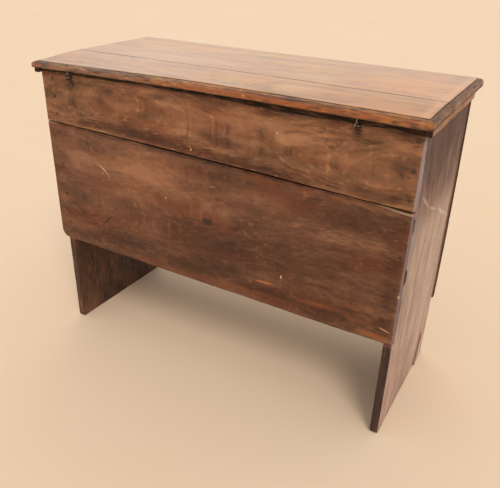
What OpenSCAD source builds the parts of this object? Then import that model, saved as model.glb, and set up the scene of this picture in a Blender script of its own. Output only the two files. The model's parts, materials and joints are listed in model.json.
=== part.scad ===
// Six-plank coffer: a boarded chest whose end planks run down to the floor as legs.
// The opening side faces -Y and the wire hinges are at +Y. Left and right are as seen
// by someone who stands in front of the coffer and looks along +Y.
// The pieces are drawn in case coordinates: x = 0 midway between the end planks,
// y = 0 on the back face, z = 0 on the floor. place() then centres the whole.

/* [Case] */
// Length over the outer faces of the end planks
case_len = 1000; // [850:10:1150]
// Depth of the end planks, from back edge to front edge
case_depth = 394; // [340:2:450]
// Height of the case, from the floor to its top edges
case_h = 775; // [700:5:850]
// Thickness of the end planks
plank_t = 20; // [18:1:25]

/* [Back boards] */
// Thickness of the back boards
back_t = 20; // [16:1:24]
// Height of the back's lower edge at the left end
back_low_h_left = 270; // [255:1:285]
// Height of the back's lower edge at the right end
back_low_h_right = 279; // [255:1:285]
// Height of the lower back board's top edge at the left end
back_joint_h_left = 601; // [560:1:640]
// Height of the lower back board's top edge at the right end
back_joint_h_right = 630; // [560:1:650]
// Shrinkage gap between the two back boards
back_gap = 3; // [1:0.5:6]
// How far the back boards run past the right end plank
back_over_right = 26; // [10:1:32]
// Radius of the worn corner at the lower right of the back
back_corner_r = 24; // [8:1:30]

/* [Front board] */
// Thickness of the front board
front_t = 20; // [16:1:24]
// Height of the front board's lower edge
front_low = 190; // [150:5:240]
// How far the front board runs past the left end plank
front_over_left = 3; // [0:0.5:8]
// How far the front board runs past the right end plank
front_over_right = 22; // [0:1:32]

/* [Bottom board] */
// Thickness of the bottom board
bottom_t = 18; // [14:1:22]
// Height of the bottom board's underside above the higher end of the back's lower edge
bottom_rise = 13; // [11:1:40]
// Depth of the grooves in the end planks that house the bottom board
housing_d = 8; // [5:1:10]
// Thickness of the tongue on each end of the bottom board, flush with its underside
tongue_t = 10; // [8:1:12]

/* [Lid] */
// Thickness of the lid boards
lid_t = 23; // [19:1:28]
// Overhang of the lid past the left end plank
lid_over_left = 14; // [14:1:30]
// Overhang of the lid past the right ends of the back boards
lid_over_right = 22; // [14:1:34]
// Overhang of the lid past the back face
lid_over_back = 11; // [10:0.5:14]
// Overhang of the lid past the front board
lid_over_front = 56; // [20:1:70]
// Distance of the lid's joint from the back face at the left end
lid_joint_left = 143; // [110:1:200]
// Distance of the lid's joint from the back face at the right end
lid_joint_right = 154; // [110:1:200]
// Radius of the thumbnail moulding round the lid
mould_r = 11; // [7:0.5:13]
// Drop from the lid's top to the start of the moulding
mould_step = 2; // [1:0.5:3]
// Flat strip between that drop and the curve of the moulding
mould_quirk = 1.5; // [0.5:0.5:4]
// Radius of the hollow cut under the moulding
mould_cove_r = 2; // [1:0.5:6]

/* [Lid cleats] */
// Width of the left cleat, along the coffer's length
cleat_w_left = 12; // [9:1:13]
// Width of the right cleat, along the coffer's length
cleat_w_right = 17; // [9:1:21]
// Height of a cleat
cleat_h = 13; // [12:1:32]
// Distance of a cleat's back end from the lid's back edge
cleat_in_back = 4; // [2:1:30]
// Distance of a cleat's front end from the front board
cleat_in_front = 8; // [2:1:40]

/* [Wire hinges] */
// Diameter of the hinge wire
wire_d = 3.6; // [3:0.2:4]
// Radius of an eye, to the middle of its wire
eye_r = 6.3; // [5.8:0.1:6.6]
// Distance of the hinge axis behind the back face
axis_out = 12; // [11.5:0.5:12.5]
// Distance of the hinge axis below the top of the case
axis_drop = 12.5; // [12:0.5:14]
// Distance of the left hinge from the left end of the case
hinge_in_left = 137; // [60:1:250]
// Distance of the right hinge from the right end of the case
hinge_in_right = 78; // [60:1:250]
// Slope of the lid staples' shanks, from the horizontal
lid_shank_slope = 62; // [60:1:64]
// Length of each clinched leg on the inside of the back
clinch_len = 15; // [8:1:25]

/* [Nails] */
// Thickness of the square nail shanks
nail_w = 4; // [3:0.5:5]
// Length of the nail shanks
nail_len = 48; // [40:1:60]
// Diameter of the hammered nail heads
nail_head_d = 9; // [7:0.5:12]
// Height of the hammered nail heads
nail_head_h = 1.8; // [1:0.2:3]
// Distance of a nail from the outer face of the end plank
nail_in = 12; // [8:1:14]
// Distance of the outermost nails from a board's edges
nail_edge = 24; // [18:1:40]
// Distance of the outermost bottom nails from the ends of the case
nail_bottom_in = 120; // [80:5:200]
// Nails in each end of the upper back board
upper_nail_count = 3; // [2:1:4]
// Nails in each end of the lower back board
lower_nail_count = 4; // [2:1:5]
// Nails in each end of the front board
front_nail_count = 5; // [3:1:6]
// Nails along each long edge of the bottom board
bottom_nail_count = 4; // [3:1:6]
// Nails in each cleat
cleat_nail_count = 3; // [2:1:4]

/* [Pegs] */
// Diameter of the pegs in the lid's joint
peg_d = 9; // [7:1:12]
// Length of the pegs in the lid's joint
peg_len = 60; // [40:2:80]
// Number of pegs in the lid's joint
peg_count = 4; // [3:1:6]

/* [Clearances] */
// Gap between the closed lid and the top of the case
lid_gap = 0.3; // [0.2:0.1:1]
// Gap between a cleat and what it passes as the lid opens
cleat_gap = 1; // [0.8:0.1:2]
// Play of the bottom board's tongues in their grooves
housing_fit = 0.3; // [0.1:0.1:1]

/* [Hidden] */
$fn = 48;

// Long enough to cut right through any board
cut = 100;
oak = "saddlebrown";
oak_worn = "peru";
oak_dark = "sienna";
iron = "dimgray";

end_x = case_len / 2;
back_x1 = end_x + back_over_right;
front_x0 = -end_x - front_over_left;
front_x1 = end_x + front_over_right;
front_y = -case_depth;
bottom_z = max(back_low_h_left, back_low_h_right) + bottom_rise;
bottom_top = bottom_z + bottom_t;

lid_x0 = -end_x - lid_over_left;
lid_x1 = back_x1 + lid_over_right;
lid_y0 = front_y - front_t - lid_over_front;
lid_y1 = lid_over_back;
lid_z = case_h + lid_gap;
lid_len = lid_x1 - lid_x0;
lid_depth = lid_y1 - lid_y0;

// The nails at each end stand in the end planks' edges
nail_xs = [-end_x + nail_in, end_x - nail_in];
// The eight facets of a hammered head run up to a small flat of this diameter
nail_flat_d = nail_head_d * 0.35;
// A cleat's nail stops short of the lid's top
nail_cover = 4;
cleat_nail_len = cleat_h + lid_t - nail_cover;
cleat_x_left = -end_x - cleat_gap - cleat_w_left;
cleat_x_right = back_x1 + cleat_gap;
cleat_y0 = front_y + cleat_in_front;
cleat_y1 = lid_y1 - cleat_in_back;

hinge_x_left = -end_x + hinge_in_left;
hinge_x_right = end_x - hinge_in_right;
axis_z = case_h - axis_drop;
// The two wires of a shank lie side by side and bite into each other a little
shank_pitch = wire_d * 0.9;
// Radius of the bend where a leg is clinched, to the middle of the wire
clinch_bend_r = wire_d * 0.75;
// The lid's shanks stop this far under the top of the lid
shank_cover = 4;
lid_shank_len = (lid_z + lid_t - shank_cover - axis_z) / sin(lid_shank_slope);

// Middle of the bounding box, which the origin stands under
mid_x = (lid_x0 + lid_x1) / 2;
mid_y = (lid_y0 + axis_out + eye_r + wire_d / 2) / 2;

// Height of a sloping edge at x, from its heights at the two end planks
function slope_at(x, left, right) = left + (right - left) * (x + end_x) / case_len;
function back_low(x) = slope_at(x, back_low_h_left, back_low_h_right);
function back_joint(x) = slope_at(x, back_joint_h_left, back_joint_h_right);
function lid_joint(x) = -slope_at(x, lid_joint_left, lid_joint_right);

// Evenly spaced positions, from low to high
function spread(low, high, count) = [for (i = [0:count - 1]) low + (high - low) * i / (count - 1)];

module place() {
  translate([-mid_x, -mid_y, 0]) children();
}

// Nail driven along -Z, with its head on the plane z = 0
module nail_shank(len = nail_len) {
  translate([-nail_w / 2, -nail_w / 2, -len]) cube([nail_w, nail_w, len]);
}

module nail(len = nail_len) {
  union() {
    nail_shank(len);
    cylinder(h = nail_head_h, d1 = nail_head_d, d2 = nail_flat_d, $fn = 8);
  }
}

module from_back(x, z) {
  translate([x, 0, z]) rotate([-90, 0, 0]) children();
}

module from_front(x, z) {
  translate([x, front_y - front_t, z]) rotate([90, 0, 0]) children();
}

// Each of these puts its children at every nail of one group
module at_upper_nails() {
  for (x = nail_xs)
    for (z = spread(back_joint(x) + back_gap + nail_edge, case_h - nail_edge, upper_nail_count))
      from_back(x, z) children();
}

module at_lower_nails() {
  for (x = nail_xs)
    for (z = spread(bottom_top + nail_edge, back_joint(x) - nail_edge, lower_nail_count))
      from_back(x, z) children();
}

module at_front_nails() {
  for (x = nail_xs)
    for (z = spread(front_low + nail_edge, case_h - nail_edge, front_nail_count))
      from_front(x, z) children();
}

module at_bottom_nails() {
  for (x = spread(-end_x + nail_bottom_in, end_x - nail_bottom_in, bottom_nail_count)) {
    from_back(x, bottom_z + bottom_t / 2) children();
    from_front(x, bottom_z + bottom_t / 2) children();
  }
}

// x is where the cleat's left face is, and w its width
module at_cleat_nails(x, w) {
  for (y = spread(cleat_y0 + nail_edge, cleat_y1 - nail_edge, cleat_nail_count))
    translate([x + w / 2, y, lid_z - cleat_h]) rotate([180, 0, 0]) children();
}

// Board upright in the XZ plane with its outer face on y = 0
module upright(t, points) {
  rotate([90, 0, 0]) linear_extrude(t) polygon(points);
}

module end_plank() {
  translate([0, front_y, 0]) cube([plank_t, case_depth, case_h]);
}

// Rebate that the back boards lie in, above the legs
module back_rebate(x) {
  translate([0, cut, 0]) upright(back_t + cut, [
    [x - cut, back_low(x - cut)], [x + cut, back_low(x + cut)],
    [x + cut, case_h + cut], [x - cut, case_h + cut]
  ]);
}

module bottom_groove(x0) {
  translate([x0, front_y - cut, bottom_z]) cube([housing_d, case_depth + 2 * cut, tongue_t]);
}

module end_left() {
  color(oak) place() difference() {
    translate([-end_x, 0, 0]) end_plank();
    back_rebate(-end_x);
    bottom_groove(-end_x + plank_t - housing_d);
    at_upper_nails() nail_shank();
    at_lower_nails() nail_shank();
    at_front_nails() nail_shank();
  }
}

module end_right() {
  color(oak) place() difference() {
    translate([end_x - plank_t, 0, 0]) end_plank();
    back_rebate(end_x);
    bottom_groove(end_x - plank_t);
    at_upper_nails() nail_shank();
    at_lower_nails() nail_shank();
    at_front_nails() nail_shank();
  }
}

module back_upper_board() {
  color(oak_dark) place() difference() {
    upright(back_t, [
      [-end_x, back_joint(-end_x) + back_gap], [back_x1, back_joint(back_x1) + back_gap],
      [back_x1, case_h], [-end_x, case_h]
    ]);
    at_upper_nails() nail_shank();
    case_loop(hinge_x_left);
    case_loop(hinge_x_right);
  }
}

// Everything outside a quarter circle at a lower right corner that stands at the origin
module corner_waste(r) {
  rotate([90, 0, 0]) translate([0, 0, -cut / 2]) linear_extrude(cut) difference() {
    translate([-r, -cut]) square([r + cut, r + cut]);
    translate([-r, r]) circle(r);
  }
}

module back_lower_board() {
  color(oak_dark) place() difference() {
    upright(back_t, [
      [-end_x, back_low(-end_x)], [back_x1, back_low(back_x1)],
      [back_x1, back_joint(back_x1)], [-end_x, back_joint(-end_x)]
    ]);
    translate([back_x1, 0, back_low(back_x1)]) corner_waste(back_corner_r);
    at_lower_nails() nail_shank();
    at_bottom_nails() nail_shank();
  }
}

module front_board() {
  color(oak_dark) place() difference() {
    translate([0, front_y, 0]) upright(front_t, [
      [front_x0, front_low], [front_x1, front_low], [front_x1, case_h], [front_x0, case_h]
    ]);
    at_front_nails() nail_shank();
    at_bottom_nails() nail_shank();
  }
}

module bottom_board() {
  shoulder = end_x - plank_t;
  reach = shoulder + housing_d - housing_fit;
  depth = case_depth - back_t;
  color(oak) place() difference() {
    union() {
      translate([-shoulder, front_y, bottom_z]) cube([2 * shoulder, depth, bottom_t]);
      translate([-reach, front_y, bottom_z]) cube([2 * reach, depth, tongue_t]);
    }
    at_bottom_nails() nail_shank();
  }
}

// Section across a board of width w, with a quirked thumbnail moulding along both edges
module lid_section(w) {
  shoulder = mould_r + mould_quirk;
  nose_z = lid_t - mould_step - mould_r;
  difference() {
    intersection() {
      square([w, lid_t]);
      union() {
        translate([shoulder, 0]) square([w - 2 * shoulder, lid_t]);
        translate([mould_r, 0]) square([w - 2 * mould_r, lid_t - mould_step]);
        square([w, nose_z]);
        for (x = [mould_r, w - mould_r]) translate([x, nose_z]) circle(mould_r);
      }
    }
    circle(mould_cove_r);
    translate([w, 0]) circle(mould_cove_r);
  }
}

// The whole lid: the two crossed sections meet in mitres at the corners
module lid_slab() {
  translate([lid_x0, lid_y1, lid_z]) intersection() {
    rotate([90, 0, 0]) linear_extrude(lid_depth) lid_section(lid_len);
    rotate([90, 0, 90]) linear_extrude(lid_len) translate([-lid_depth, 0]) lid_section(lid_depth);
  }
}

// Everything on one side of the lid's joint, as far as y = y_far
module lid_side(y_far) {
  translate([0, 0, lid_z - cut]) linear_extrude(lid_t + 2 * cut) polygon([
    [lid_x0 - cut, lid_joint(lid_x0 - cut)], [lid_x1 + cut, lid_joint(lid_x1 + cut)],
    [lid_x1 + cut, y_far], [lid_x0 - cut, y_far]
  ]);
}

module lid_pegs() {
  for (x = spread(lid_x0 + lid_len / (2 * peg_count), lid_x1 - lid_len / (2 * peg_count), peg_count))
    translate([x, lid_joint(x) + peg_len / 2, lid_z + lid_t / 2]) rotate([90, 0, 0])
      cylinder(h = peg_len, d = peg_d);
}

module lid_front_board() {
  color(oak_worn) place() difference() {
    intersection() {
      lid_slab();
      lid_side(lid_y0 - cut);
    }
    lid_pegs();
    at_cleat_nails(cleat_x_left, cleat_w_left) nail_shank(cleat_nail_len);
    at_cleat_nails(cleat_x_right, cleat_w_right) nail_shank(cleat_nail_len);
  }
}

module lid_rear_board() {
  color(oak_worn) place() difference() {
    intersection() {
      lid_slab();
      lid_side(lid_y1 + cut);
    }
    lid_pegs();
    at_cleat_nails(cleat_x_left, cleat_w_left) nail_shank(cleat_nail_len);
    at_cleat_nails(cleat_x_right, cleat_w_right) nail_shank(cleat_nail_len);
    lid_loop(hinge_x_left);
    lid_loop(hinge_x_right);
  }
}

module cleat(x, w) {
  difference() {
    translate([x, cleat_y0, lid_z - cleat_h]) cube([w, cleat_y1 - cleat_y0, cleat_h]);
    at_cleat_nails(x, w) nail_shank(cleat_nail_len);
  }
}

module lid_cleat_left() {
  color(oak) place() cleat(cleat_x_left, cleat_w_left);
}

module lid_cleat_right() {
  color(oak) place() cleat(cleat_x_right, cleat_w_right);
}

module lid_joint_pegs() {
  color(oak_worn) place() lid_pegs();
}

module eye() {
  rotate_extrude() translate([eye_r, 0]) circle(d = wire_d);
}

// Staple through the back: the eye lies flat, its outer bow is the hinge axis,
// and its legs are clinched apart on the inside face
module case_loop(x) {
  leg = shank_pitch / 2;
  start = axis_out - 2 * eye_r;
  inside = -back_t - wire_d / 2;
  translate([x, 0, axis_z]) union() {
    translate([0, axis_out - eye_r, 0]) eye();
    for (m = [0, 1]) mirror([m, 0, 0]) {
      translate([leg, start, 0]) rotate([90, 0, 0])
        cylinder(h = start - inside - clinch_bend_r, d = wire_d);
      translate([leg + clinch_bend_r, inside + clinch_bend_r, 0]) rotate([0, 0, 180])
        rotate_extrude(angle = 90) translate([clinch_bend_r, 0]) circle(d = wire_d);
      translate([leg + clinch_bend_r, inside, 0]) rotate([0, 90, 0])
        cylinder(h = clinch_len, d = wire_d);
    }
  }
}

// Staple in the lid: the eye stands upright round the hinge axis and its shank
// slopes up and forward into the lid
module lid_loop(x) {
  translate([x, axis_out, axis_z]) union() {
    rotate([0, 90, 0]) eye();
    rotate([90 - lid_shank_slope, 0, 0])
      for (side = [-1, 1]) translate([0, side * shank_pitch / 2, eye_r])
        cylinder(h = lid_shank_len - eye_r, d = wire_d);
  }
}

module hinge_case_loop_left() {
  color(iron) place() case_loop(hinge_x_left);
}

module hinge_case_loop_right() {
  color(iron) place() case_loop(hinge_x_right);
}

module hinge_lid_loop_left() {
  color(iron) place() lid_loop(hinge_x_left);
}

module hinge_lid_loop_right() {
  color(iron) place() lid_loop(hinge_x_right);
}

module back_upper_nails() {
  color(iron) place() at_upper_nails() nail();
}

module back_lower_nails() {
  color(iron) place() at_lower_nails() nail();
}

module front_nails() {
  color(iron) place() at_front_nails() nail();
}

module bottom_nails() {
  color(iron) place() at_bottom_nails() nail();
}

module cleat_nails_left() {
  color(iron) place() at_cleat_nails(cleat_x_left, cleat_w_left) nail(cleat_nail_len);
}

module cleat_nails_right() {
  color(iron) place() at_cleat_nails(cleat_x_right, cleat_w_right) nail(cleat_nail_len);
}

end_left();
end_right();
back_upper_board();
back_lower_board();
front_board();
bottom_board();
lid_front_board();
lid_rear_board();
lid_cleat_left();
lid_cleat_right();
lid_joint_pegs();
hinge_case_loop_left();
hinge_case_loop_right();
hinge_lid_loop_left();
hinge_lid_loop_right();
back_upper_nails();
back_lower_nails();
front_nails();
bottom_nails();
cleat_nails_left();
cleat_nails_right();
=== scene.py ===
"""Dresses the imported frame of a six-plank coffer with worn boards, forged iron and a plain studio."""

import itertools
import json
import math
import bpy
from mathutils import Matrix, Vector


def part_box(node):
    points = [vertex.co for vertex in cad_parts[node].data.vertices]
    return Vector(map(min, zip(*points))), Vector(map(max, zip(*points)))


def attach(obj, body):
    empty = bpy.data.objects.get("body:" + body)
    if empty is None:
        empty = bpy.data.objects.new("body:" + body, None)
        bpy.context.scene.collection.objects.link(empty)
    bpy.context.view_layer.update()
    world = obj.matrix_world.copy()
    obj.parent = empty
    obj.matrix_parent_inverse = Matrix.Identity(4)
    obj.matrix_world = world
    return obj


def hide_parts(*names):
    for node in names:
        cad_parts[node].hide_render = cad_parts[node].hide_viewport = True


bl_info = {
    "name": "Six-plank coffer",
    "version": (1, 0, 0),
    "blender": (4, 5, 0),
    "location": "3D View > Sidebar > Coffer",
    "description": "Builds the worn boards, hinges, nails and studio of a boarded coffer",
    "category": "Add Mesh",
}

from collections import namedtuple

import bpy
import numpy as np
from bpy.props import FloatProperty, FloatVectorProperty, IntProperty, PointerProperty
from mathutils import Matrix, Vector

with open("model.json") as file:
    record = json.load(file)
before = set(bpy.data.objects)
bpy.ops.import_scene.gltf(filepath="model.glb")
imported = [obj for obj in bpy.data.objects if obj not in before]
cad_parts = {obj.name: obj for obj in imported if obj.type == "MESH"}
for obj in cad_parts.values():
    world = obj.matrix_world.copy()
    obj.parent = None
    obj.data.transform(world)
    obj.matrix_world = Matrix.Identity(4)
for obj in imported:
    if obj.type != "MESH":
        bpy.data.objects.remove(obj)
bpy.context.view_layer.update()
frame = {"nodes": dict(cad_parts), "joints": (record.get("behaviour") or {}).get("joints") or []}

MM = 0.001
X, Y, Z = 0, 1, 2

# The lid turns about this point; its axis runs along X
HINGE_AXIS = Vector(frame["joints"][0]["pos_m"])

# Heights of the case's top and of the floor inside it
CASE_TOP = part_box("front_board")[1][Z]
CHEST_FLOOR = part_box("bottom_board")[1][Z]

# The whole-number hash behind the noise: its mask, multiplier and shift, and how a seed becomes a first key
HASH_MASK, HASH_STEP, HASH_SHIFT = 0xFFFFFFFF, 0x9E3779B1, 15
SEED_STEP, SEED_START = 7919, 17

# Points round a wire and round a nail's head
AROUND = 12

# Edges bent by more than this are shaded sharp
SHARP = math.radians(38)

# How far a board's summed patterns reach from their middle, for each unit of their shares
TONE_REACH = 0.26


# Colours and sizes that a user may change

def linear(code):
    """Scene-linear red, green and blue of an sRGB hex colour."""
    channels = [int(code[i:i + 2], 16) / 255 for i in (1, 3, 5)]
    return tuple(c / 12.92 if c <= 0.04045 else ((c + 0.055) / 1.055) ** 2.4 for c in channels)


def colour(name, description, code):
    return FloatVectorProperty(
        name=name, description=description, subtype="COLOR", size=3, min=0, max=1, default=linear(code))


def length(name, description, millimetres):
    return FloatProperty(name=name, description=description, unit="LENGTH", default=millimetres * MM)


def angle(name, description, degrees):
    return FloatProperty(name=name, description=description, subtype="ANGLE", default=math.radians(degrees))


def strength(name, description, value):
    return FloatProperty(name=name, description=description, min=0, default=value)


class BoardSettings(bpy.types.PropertyGroup):
    """Shape and wear of the case's boards."""

    step: length("Grid step", "Distance between the lines of a face's grid", 3.6)
    arris: length("Arris radius", "Radius of the worn edges", 1.6)
    bow: length("End bow", "How far the end planks bulge outwards at mid-height", 4.0)
    scrape: length("Scraping marks", "Depth of the hollows left by the plane", 0.35)
    back_t: length("Back thickness", "Thickness of the back boards, which lie in rebates", 20)
    back_low_right: length("Back's lower edge", "Height of the back's lower edge at its right end", 279.2)
    corner: length("Worn corner", "Radius of the worn lower corner of the back", 24)
    foot_round: length("Foot corner", "Radius of the worn corners of the feet", 7)


class LidSettings(bpy.types.PropertyGroup):
    """Moulding and warp of the lid."""

    nose: length("Thumbnail radius", "Radius of the moulding round the lid", 11)
    drop: length("Drop", "Height of the square step above the moulding", 2)
    flat: length("Flat", "Width of the flat between the step and the curve", 1.5)
    hollow: length("Hollow", "Radius of the hollow under the moulding", 2)
    joint_gap: length("Joint gap", "Gap between the two lid boards", 1.6)
    rear_lift: length("Rear lift", "How far the middle of the lid's rear edge has bowed up", 3.5)
    rear_droop: length("Rear droop", "How far the lid's rear edge hangs below its true place", 2.5)
    end_droop: length("End droop", "How much further it hangs, and thins, at its right end", 4)
    corner_lift: length("Corner lift", "How far the lid's front right corner has warped up", 6.0)


class IronSettings(bpy.types.PropertyGroup):
    """Sizes of the hinge wires and the nails."""

    wire: length("Wire", "Diameter of the hinge wire", 3.6)
    eye: length("Eye radius", "Radius of a hinge eye, to the middle of its wire", 6.3)
    shank: length("Shank", "Length of a lid loop's shank inside the wood", 15)
    clinch: length("Clinch", "Length of each leg that is bent flat inside the back", 17)
    slope: angle("Shank slope", "Slope of the lid loops' shanks from the horizontal", 62)
    head: length("Nail head", "Diameter of the hammered nail heads", 7.6)
    crown: length("Nail crown", "Height of the hammered nail heads", 1.8)
    nail: length("Nail length", "Length of the nails' shanks", 46)
    nail_w: length("Nail width", "Thickness of the nails' shanks", 4)


class StageSettings(bpy.types.PropertyGroup):
    """Floor, lamps and camera."""

    floor_colour: colour("Floor", "Colour of the plain floor", "#ebd3b8")
    camera_at: FloatVectorProperty(
        name="Camera", description="Place of the camera", subtype="TRANSLATION", unit="LENGTH",
        default=(-0.7585, 1.3250, 1.0766))
    heading: angle("Heading", "Turn of the camera from square on to the back", 29.31)
    pitch: angle("Pitch", "How far the camera looks down", 27.19)
    roll: angle("Roll", "Tilt of the camera about its own line of sight", 1.55)
    lens: FloatProperty(
        name="Lens", description="Focal length in millimetres for a 36 mm sensor", unit="CAMERA",
        default=41.93)
    sky: strength("Sky", "Strength of the even light from all round", 0.75)
    key: strength("Key", "Strength of the lamp over the hinge side", 1.3)
    back: strength("Back light", "Strength of the lamp over the front", 0.16)
    spread: angle("Spread", "How wide the two lamps look from the coffer", 22)


class CofferSettings(bpy.types.PropertyGroup):
    """Everything that can be set about the coffer and its stage."""

    boards: PointerProperty(type=BoardSettings)
    lid: PointerProperty(type=LidSettings)
    iron: PointerProperty(type=IronSettings)
    stage: PointerProperty(type=StageSettings)
    seed: IntProperty(name="Seed", description="Start of the random wear", default=7, min=0)


# Steps and noise on arrays

def smooth(value, low, high):
    """Smooth step from 0 at low to 1 at high."""
    share = np.clip((value - low) / (high - low), 0, 1)
    return share * share * (3 - 2 * share)


def fade(value, near, far):
    """Smooth step from 1 at near to 0 at far."""
    return 1 - smooth(value, near, far)


def lattice(points, seed):
    """Noise from -1 to 1: random values at whole-number corners, blended over each cell by a smooth step."""
    cell = np.floor(points)
    share = smooth(points - cell, 0, 1)
    cell = cell.astype(np.int64)
    total = np.zeros(points.shape[:-1])
    for corner in itertools.product((0, 1), repeat=points.shape[-1]):
        key = np.full(total.shape, seed * SEED_STEP + SEED_START, np.int64)
        for axis, step in enumerate(corner):
            key = (key ^ (cell[..., axis] + step)) * HASH_STEP & HASH_MASK
            key ^= key >> HASH_SHIFT
        weight = np.prod(np.where(corner, share, 1 - share), axis=-1)
        total += weight * (key / HASH_MASK * 2 - 1)
    return total


def blots(u, v, size_u, size_v, seed, octaves=2):
    """Cloudy noise on a face: each octave halves the size of the blots and their strength."""
    total = 0
    for octave in range(octaves):
        scale = 2 ** octave
        total = total + lattice(np.stack([u / size_u * scale, v / size_v * scale], -1), seed + octave) / scale
    return total


def wave(u, size, seed, octaves=2):
    """The same noise along one line."""
    return blots(u, 0 * u, size, 1, seed, octaves)


# Boards: grids over both faces, joined by rings that carry the edge's section round the outline

# Section of a board's edge from the top face to the bottom one. insets has a row for each side of the
# outline; soft and slump are how far wear can move a point inwards and towards the middle of the edge; half
# is 1 where a point belongs to the upper arris, -1 to the lower and 0 between; wear, grime and bare are the
# marks that each ring gets, the grime mark holding both dirt and painted shade
Rim = namedtuple("Rim", "insets height soft slump half wear grime bare")

# Sides of a board's outline, in the order of a rim's insets
SIDES = ("low_u", "high_u", "low_v", "high_v")

# Marks that a board's points carry for its material: rubbed, bare wood, dirt and painted shade, end grain and
# inner face
MARKS = ("wear", "raw", "grime", "end", "inner")

# A crack along the grain: its place across the board, where it starts and ends, its sizes, the face that it
# opens on, 1 for the outer and -1 for the inner, how far it leans across the grain from start to end, and
# how far the wood before it has sprung out of the face
Split = namedtuple("Split", "across start end width depth face lean spring", defaults=(0, 0))


def eased_rim(thickness, radius):
    """Plain edge: a quarter round at each arris and a flat between them."""
    turn = np.linspace(0, np.pi / 2, 5)
    inset = radius * (1 - np.sin(turn))
    drop = radius * (1 - np.cos(turn))
    worn = 0.4 + 0.6 * np.sin(2 * turn)
    flat = np.array([0.3, 0.5, 0.7]) * thickness
    around = np.concatenate([inset, 0 * flat, inset[::-1]])
    return Rim(
        insets=np.tile(around, (4, 1)),
        height=np.concatenate([thickness - drop, flat[::-1], drop[::-1]]),
        soft=around,
        slump=np.concatenate([-drop, 0 * flat, drop[::-1]]),
        half=np.concatenate([np.ones_like(turn), 0 * flat, -np.ones_like(turn)]),
        wear=np.concatenate([worn, 0 * flat + 0.1, worn[::-1]]),
        grime=0 * around, bare=0 * around)


def moulded_rim(thickness, lid, plain_side):
    """Lid's edge: a square drop, a narrow flat, a quarter round and a hollow beneath, on three of its sides.
    The side at the joint of the two boards is plain and a little eased."""
    turn = np.linspace(0, np.pi / 2, 10)
    under = np.linspace(0, np.pi / 2, 5)
    nose_height = thickness - lid.drop - lid.nose
    shoulder = lid.nose + lid.flat
    inset = np.concatenate([
        [shoulder + 0.8 * MM, shoulder + 0.2 * MM, shoulder, shoulder - 0.1 * MM, lid.nose + 0.3 * MM],
        lid.nose * (1 - np.sin(turn[1:])), [0], lid.hollow * np.sin(under)])
    height = np.concatenate([
        [thickness, thickness - 0.2 * MM, thickness - 0.8 * MM, thickness - lid.drop,
         thickness - lid.drop - 0.1 * MM],
        nose_height + lid.nose * np.cos(turn[1:]) - 0.1 * MM, [lid.hollow + 1 * MM],
        lid.hollow * np.cos(under)])
    ease = 0 * inset
    ease[:2] = [0.6 * MM, 0.2 * MM]
    ease[-1] = 0.5 * MM
    insets = np.tile(inset, (4, 1))
    insets[SIDES.index(plain_side)] = ease
    soft = np.concatenate([[0.5, 0.3, 0.1, 0, 0], 0.8 * np.sin(turn[1:]), [0.8], 0.3 * np.cos(under)]) * MM
    wear = np.concatenate([
        [0.3, 0.3, 0.2, 0, 0], smooth(turn[1:], 0.85, 1.35), [1], 0.5 * np.cos(under)])
    # The step is dark, the nose's upper curve holds dirt, and the hollow beneath is painted shade
    grime = np.concatenate([
        [0, 0, 0.4, 0.9, 0.7], 0.42 * fade(turn[1:], 0.9, 1.3), [0.1], 0.6 + 0.4 * np.sin(under)])
    bare = 0 * inset
    bare[:2] = [0.6, 0.9]
    half = np.concatenate([np.ones(3), np.full(len(turn) + 1, 0.2), [0], np.full(len(under), -0.3)])
    return Rim(insets, height, soft, 0 * inset, half, wear, grime, bare)


def spaced(span, step, margin, clusters):
    """Line places from 0 to 1: both ends, a line just inside each, even steps, clusters of close lines."""
    count = max(2, round((span - 2 * margin) / step))
    at = np.linspace(margin, span - margin, count + 1)
    for cluster in clusters:
        at = at[(at < min(cluster) - step / 3) | (at > max(cluster) + step / 3)]
    at = np.unique(np.concatenate([[0, span], at, *clusters]))
    return at / span


def slab_faces(nu, nv, rings):
    """Quads of a closed slab, and the grid lines that its outline follows."""
    top = np.arange(nu * nv).reshape(nu, nv)
    forth, inner = np.arange(nu), np.arange(1, nv - 1)
    i = np.concatenate([forth, 0 * inner + nu - 1, forth[::-1], 0 * inner])
    j = np.concatenate([0 * forth, inner, 0 * forth + nv - 1, inner[::-1]])
    around = np.arange(len(i))
    loops = [top[i, j], *(2 * nu * nv + k * len(i) + around for k in range(rings)), top[i, j] + nu * nv]
    quads = np.stack([top[:-1, :-1], top[1:, :-1], top[1:, 1:], top[:-1, 1:]], -1).reshape(-1, 4)
    parts = [quads, quads[:, ::-1] + nu * nv]
    for upper, lower in zip(loops, loops[1:]):
        parts.append(np.stack([upper, lower, np.roll(lower, -1), np.roll(upper, -1)], -1))
    return np.concatenate(parts), i, j


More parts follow.
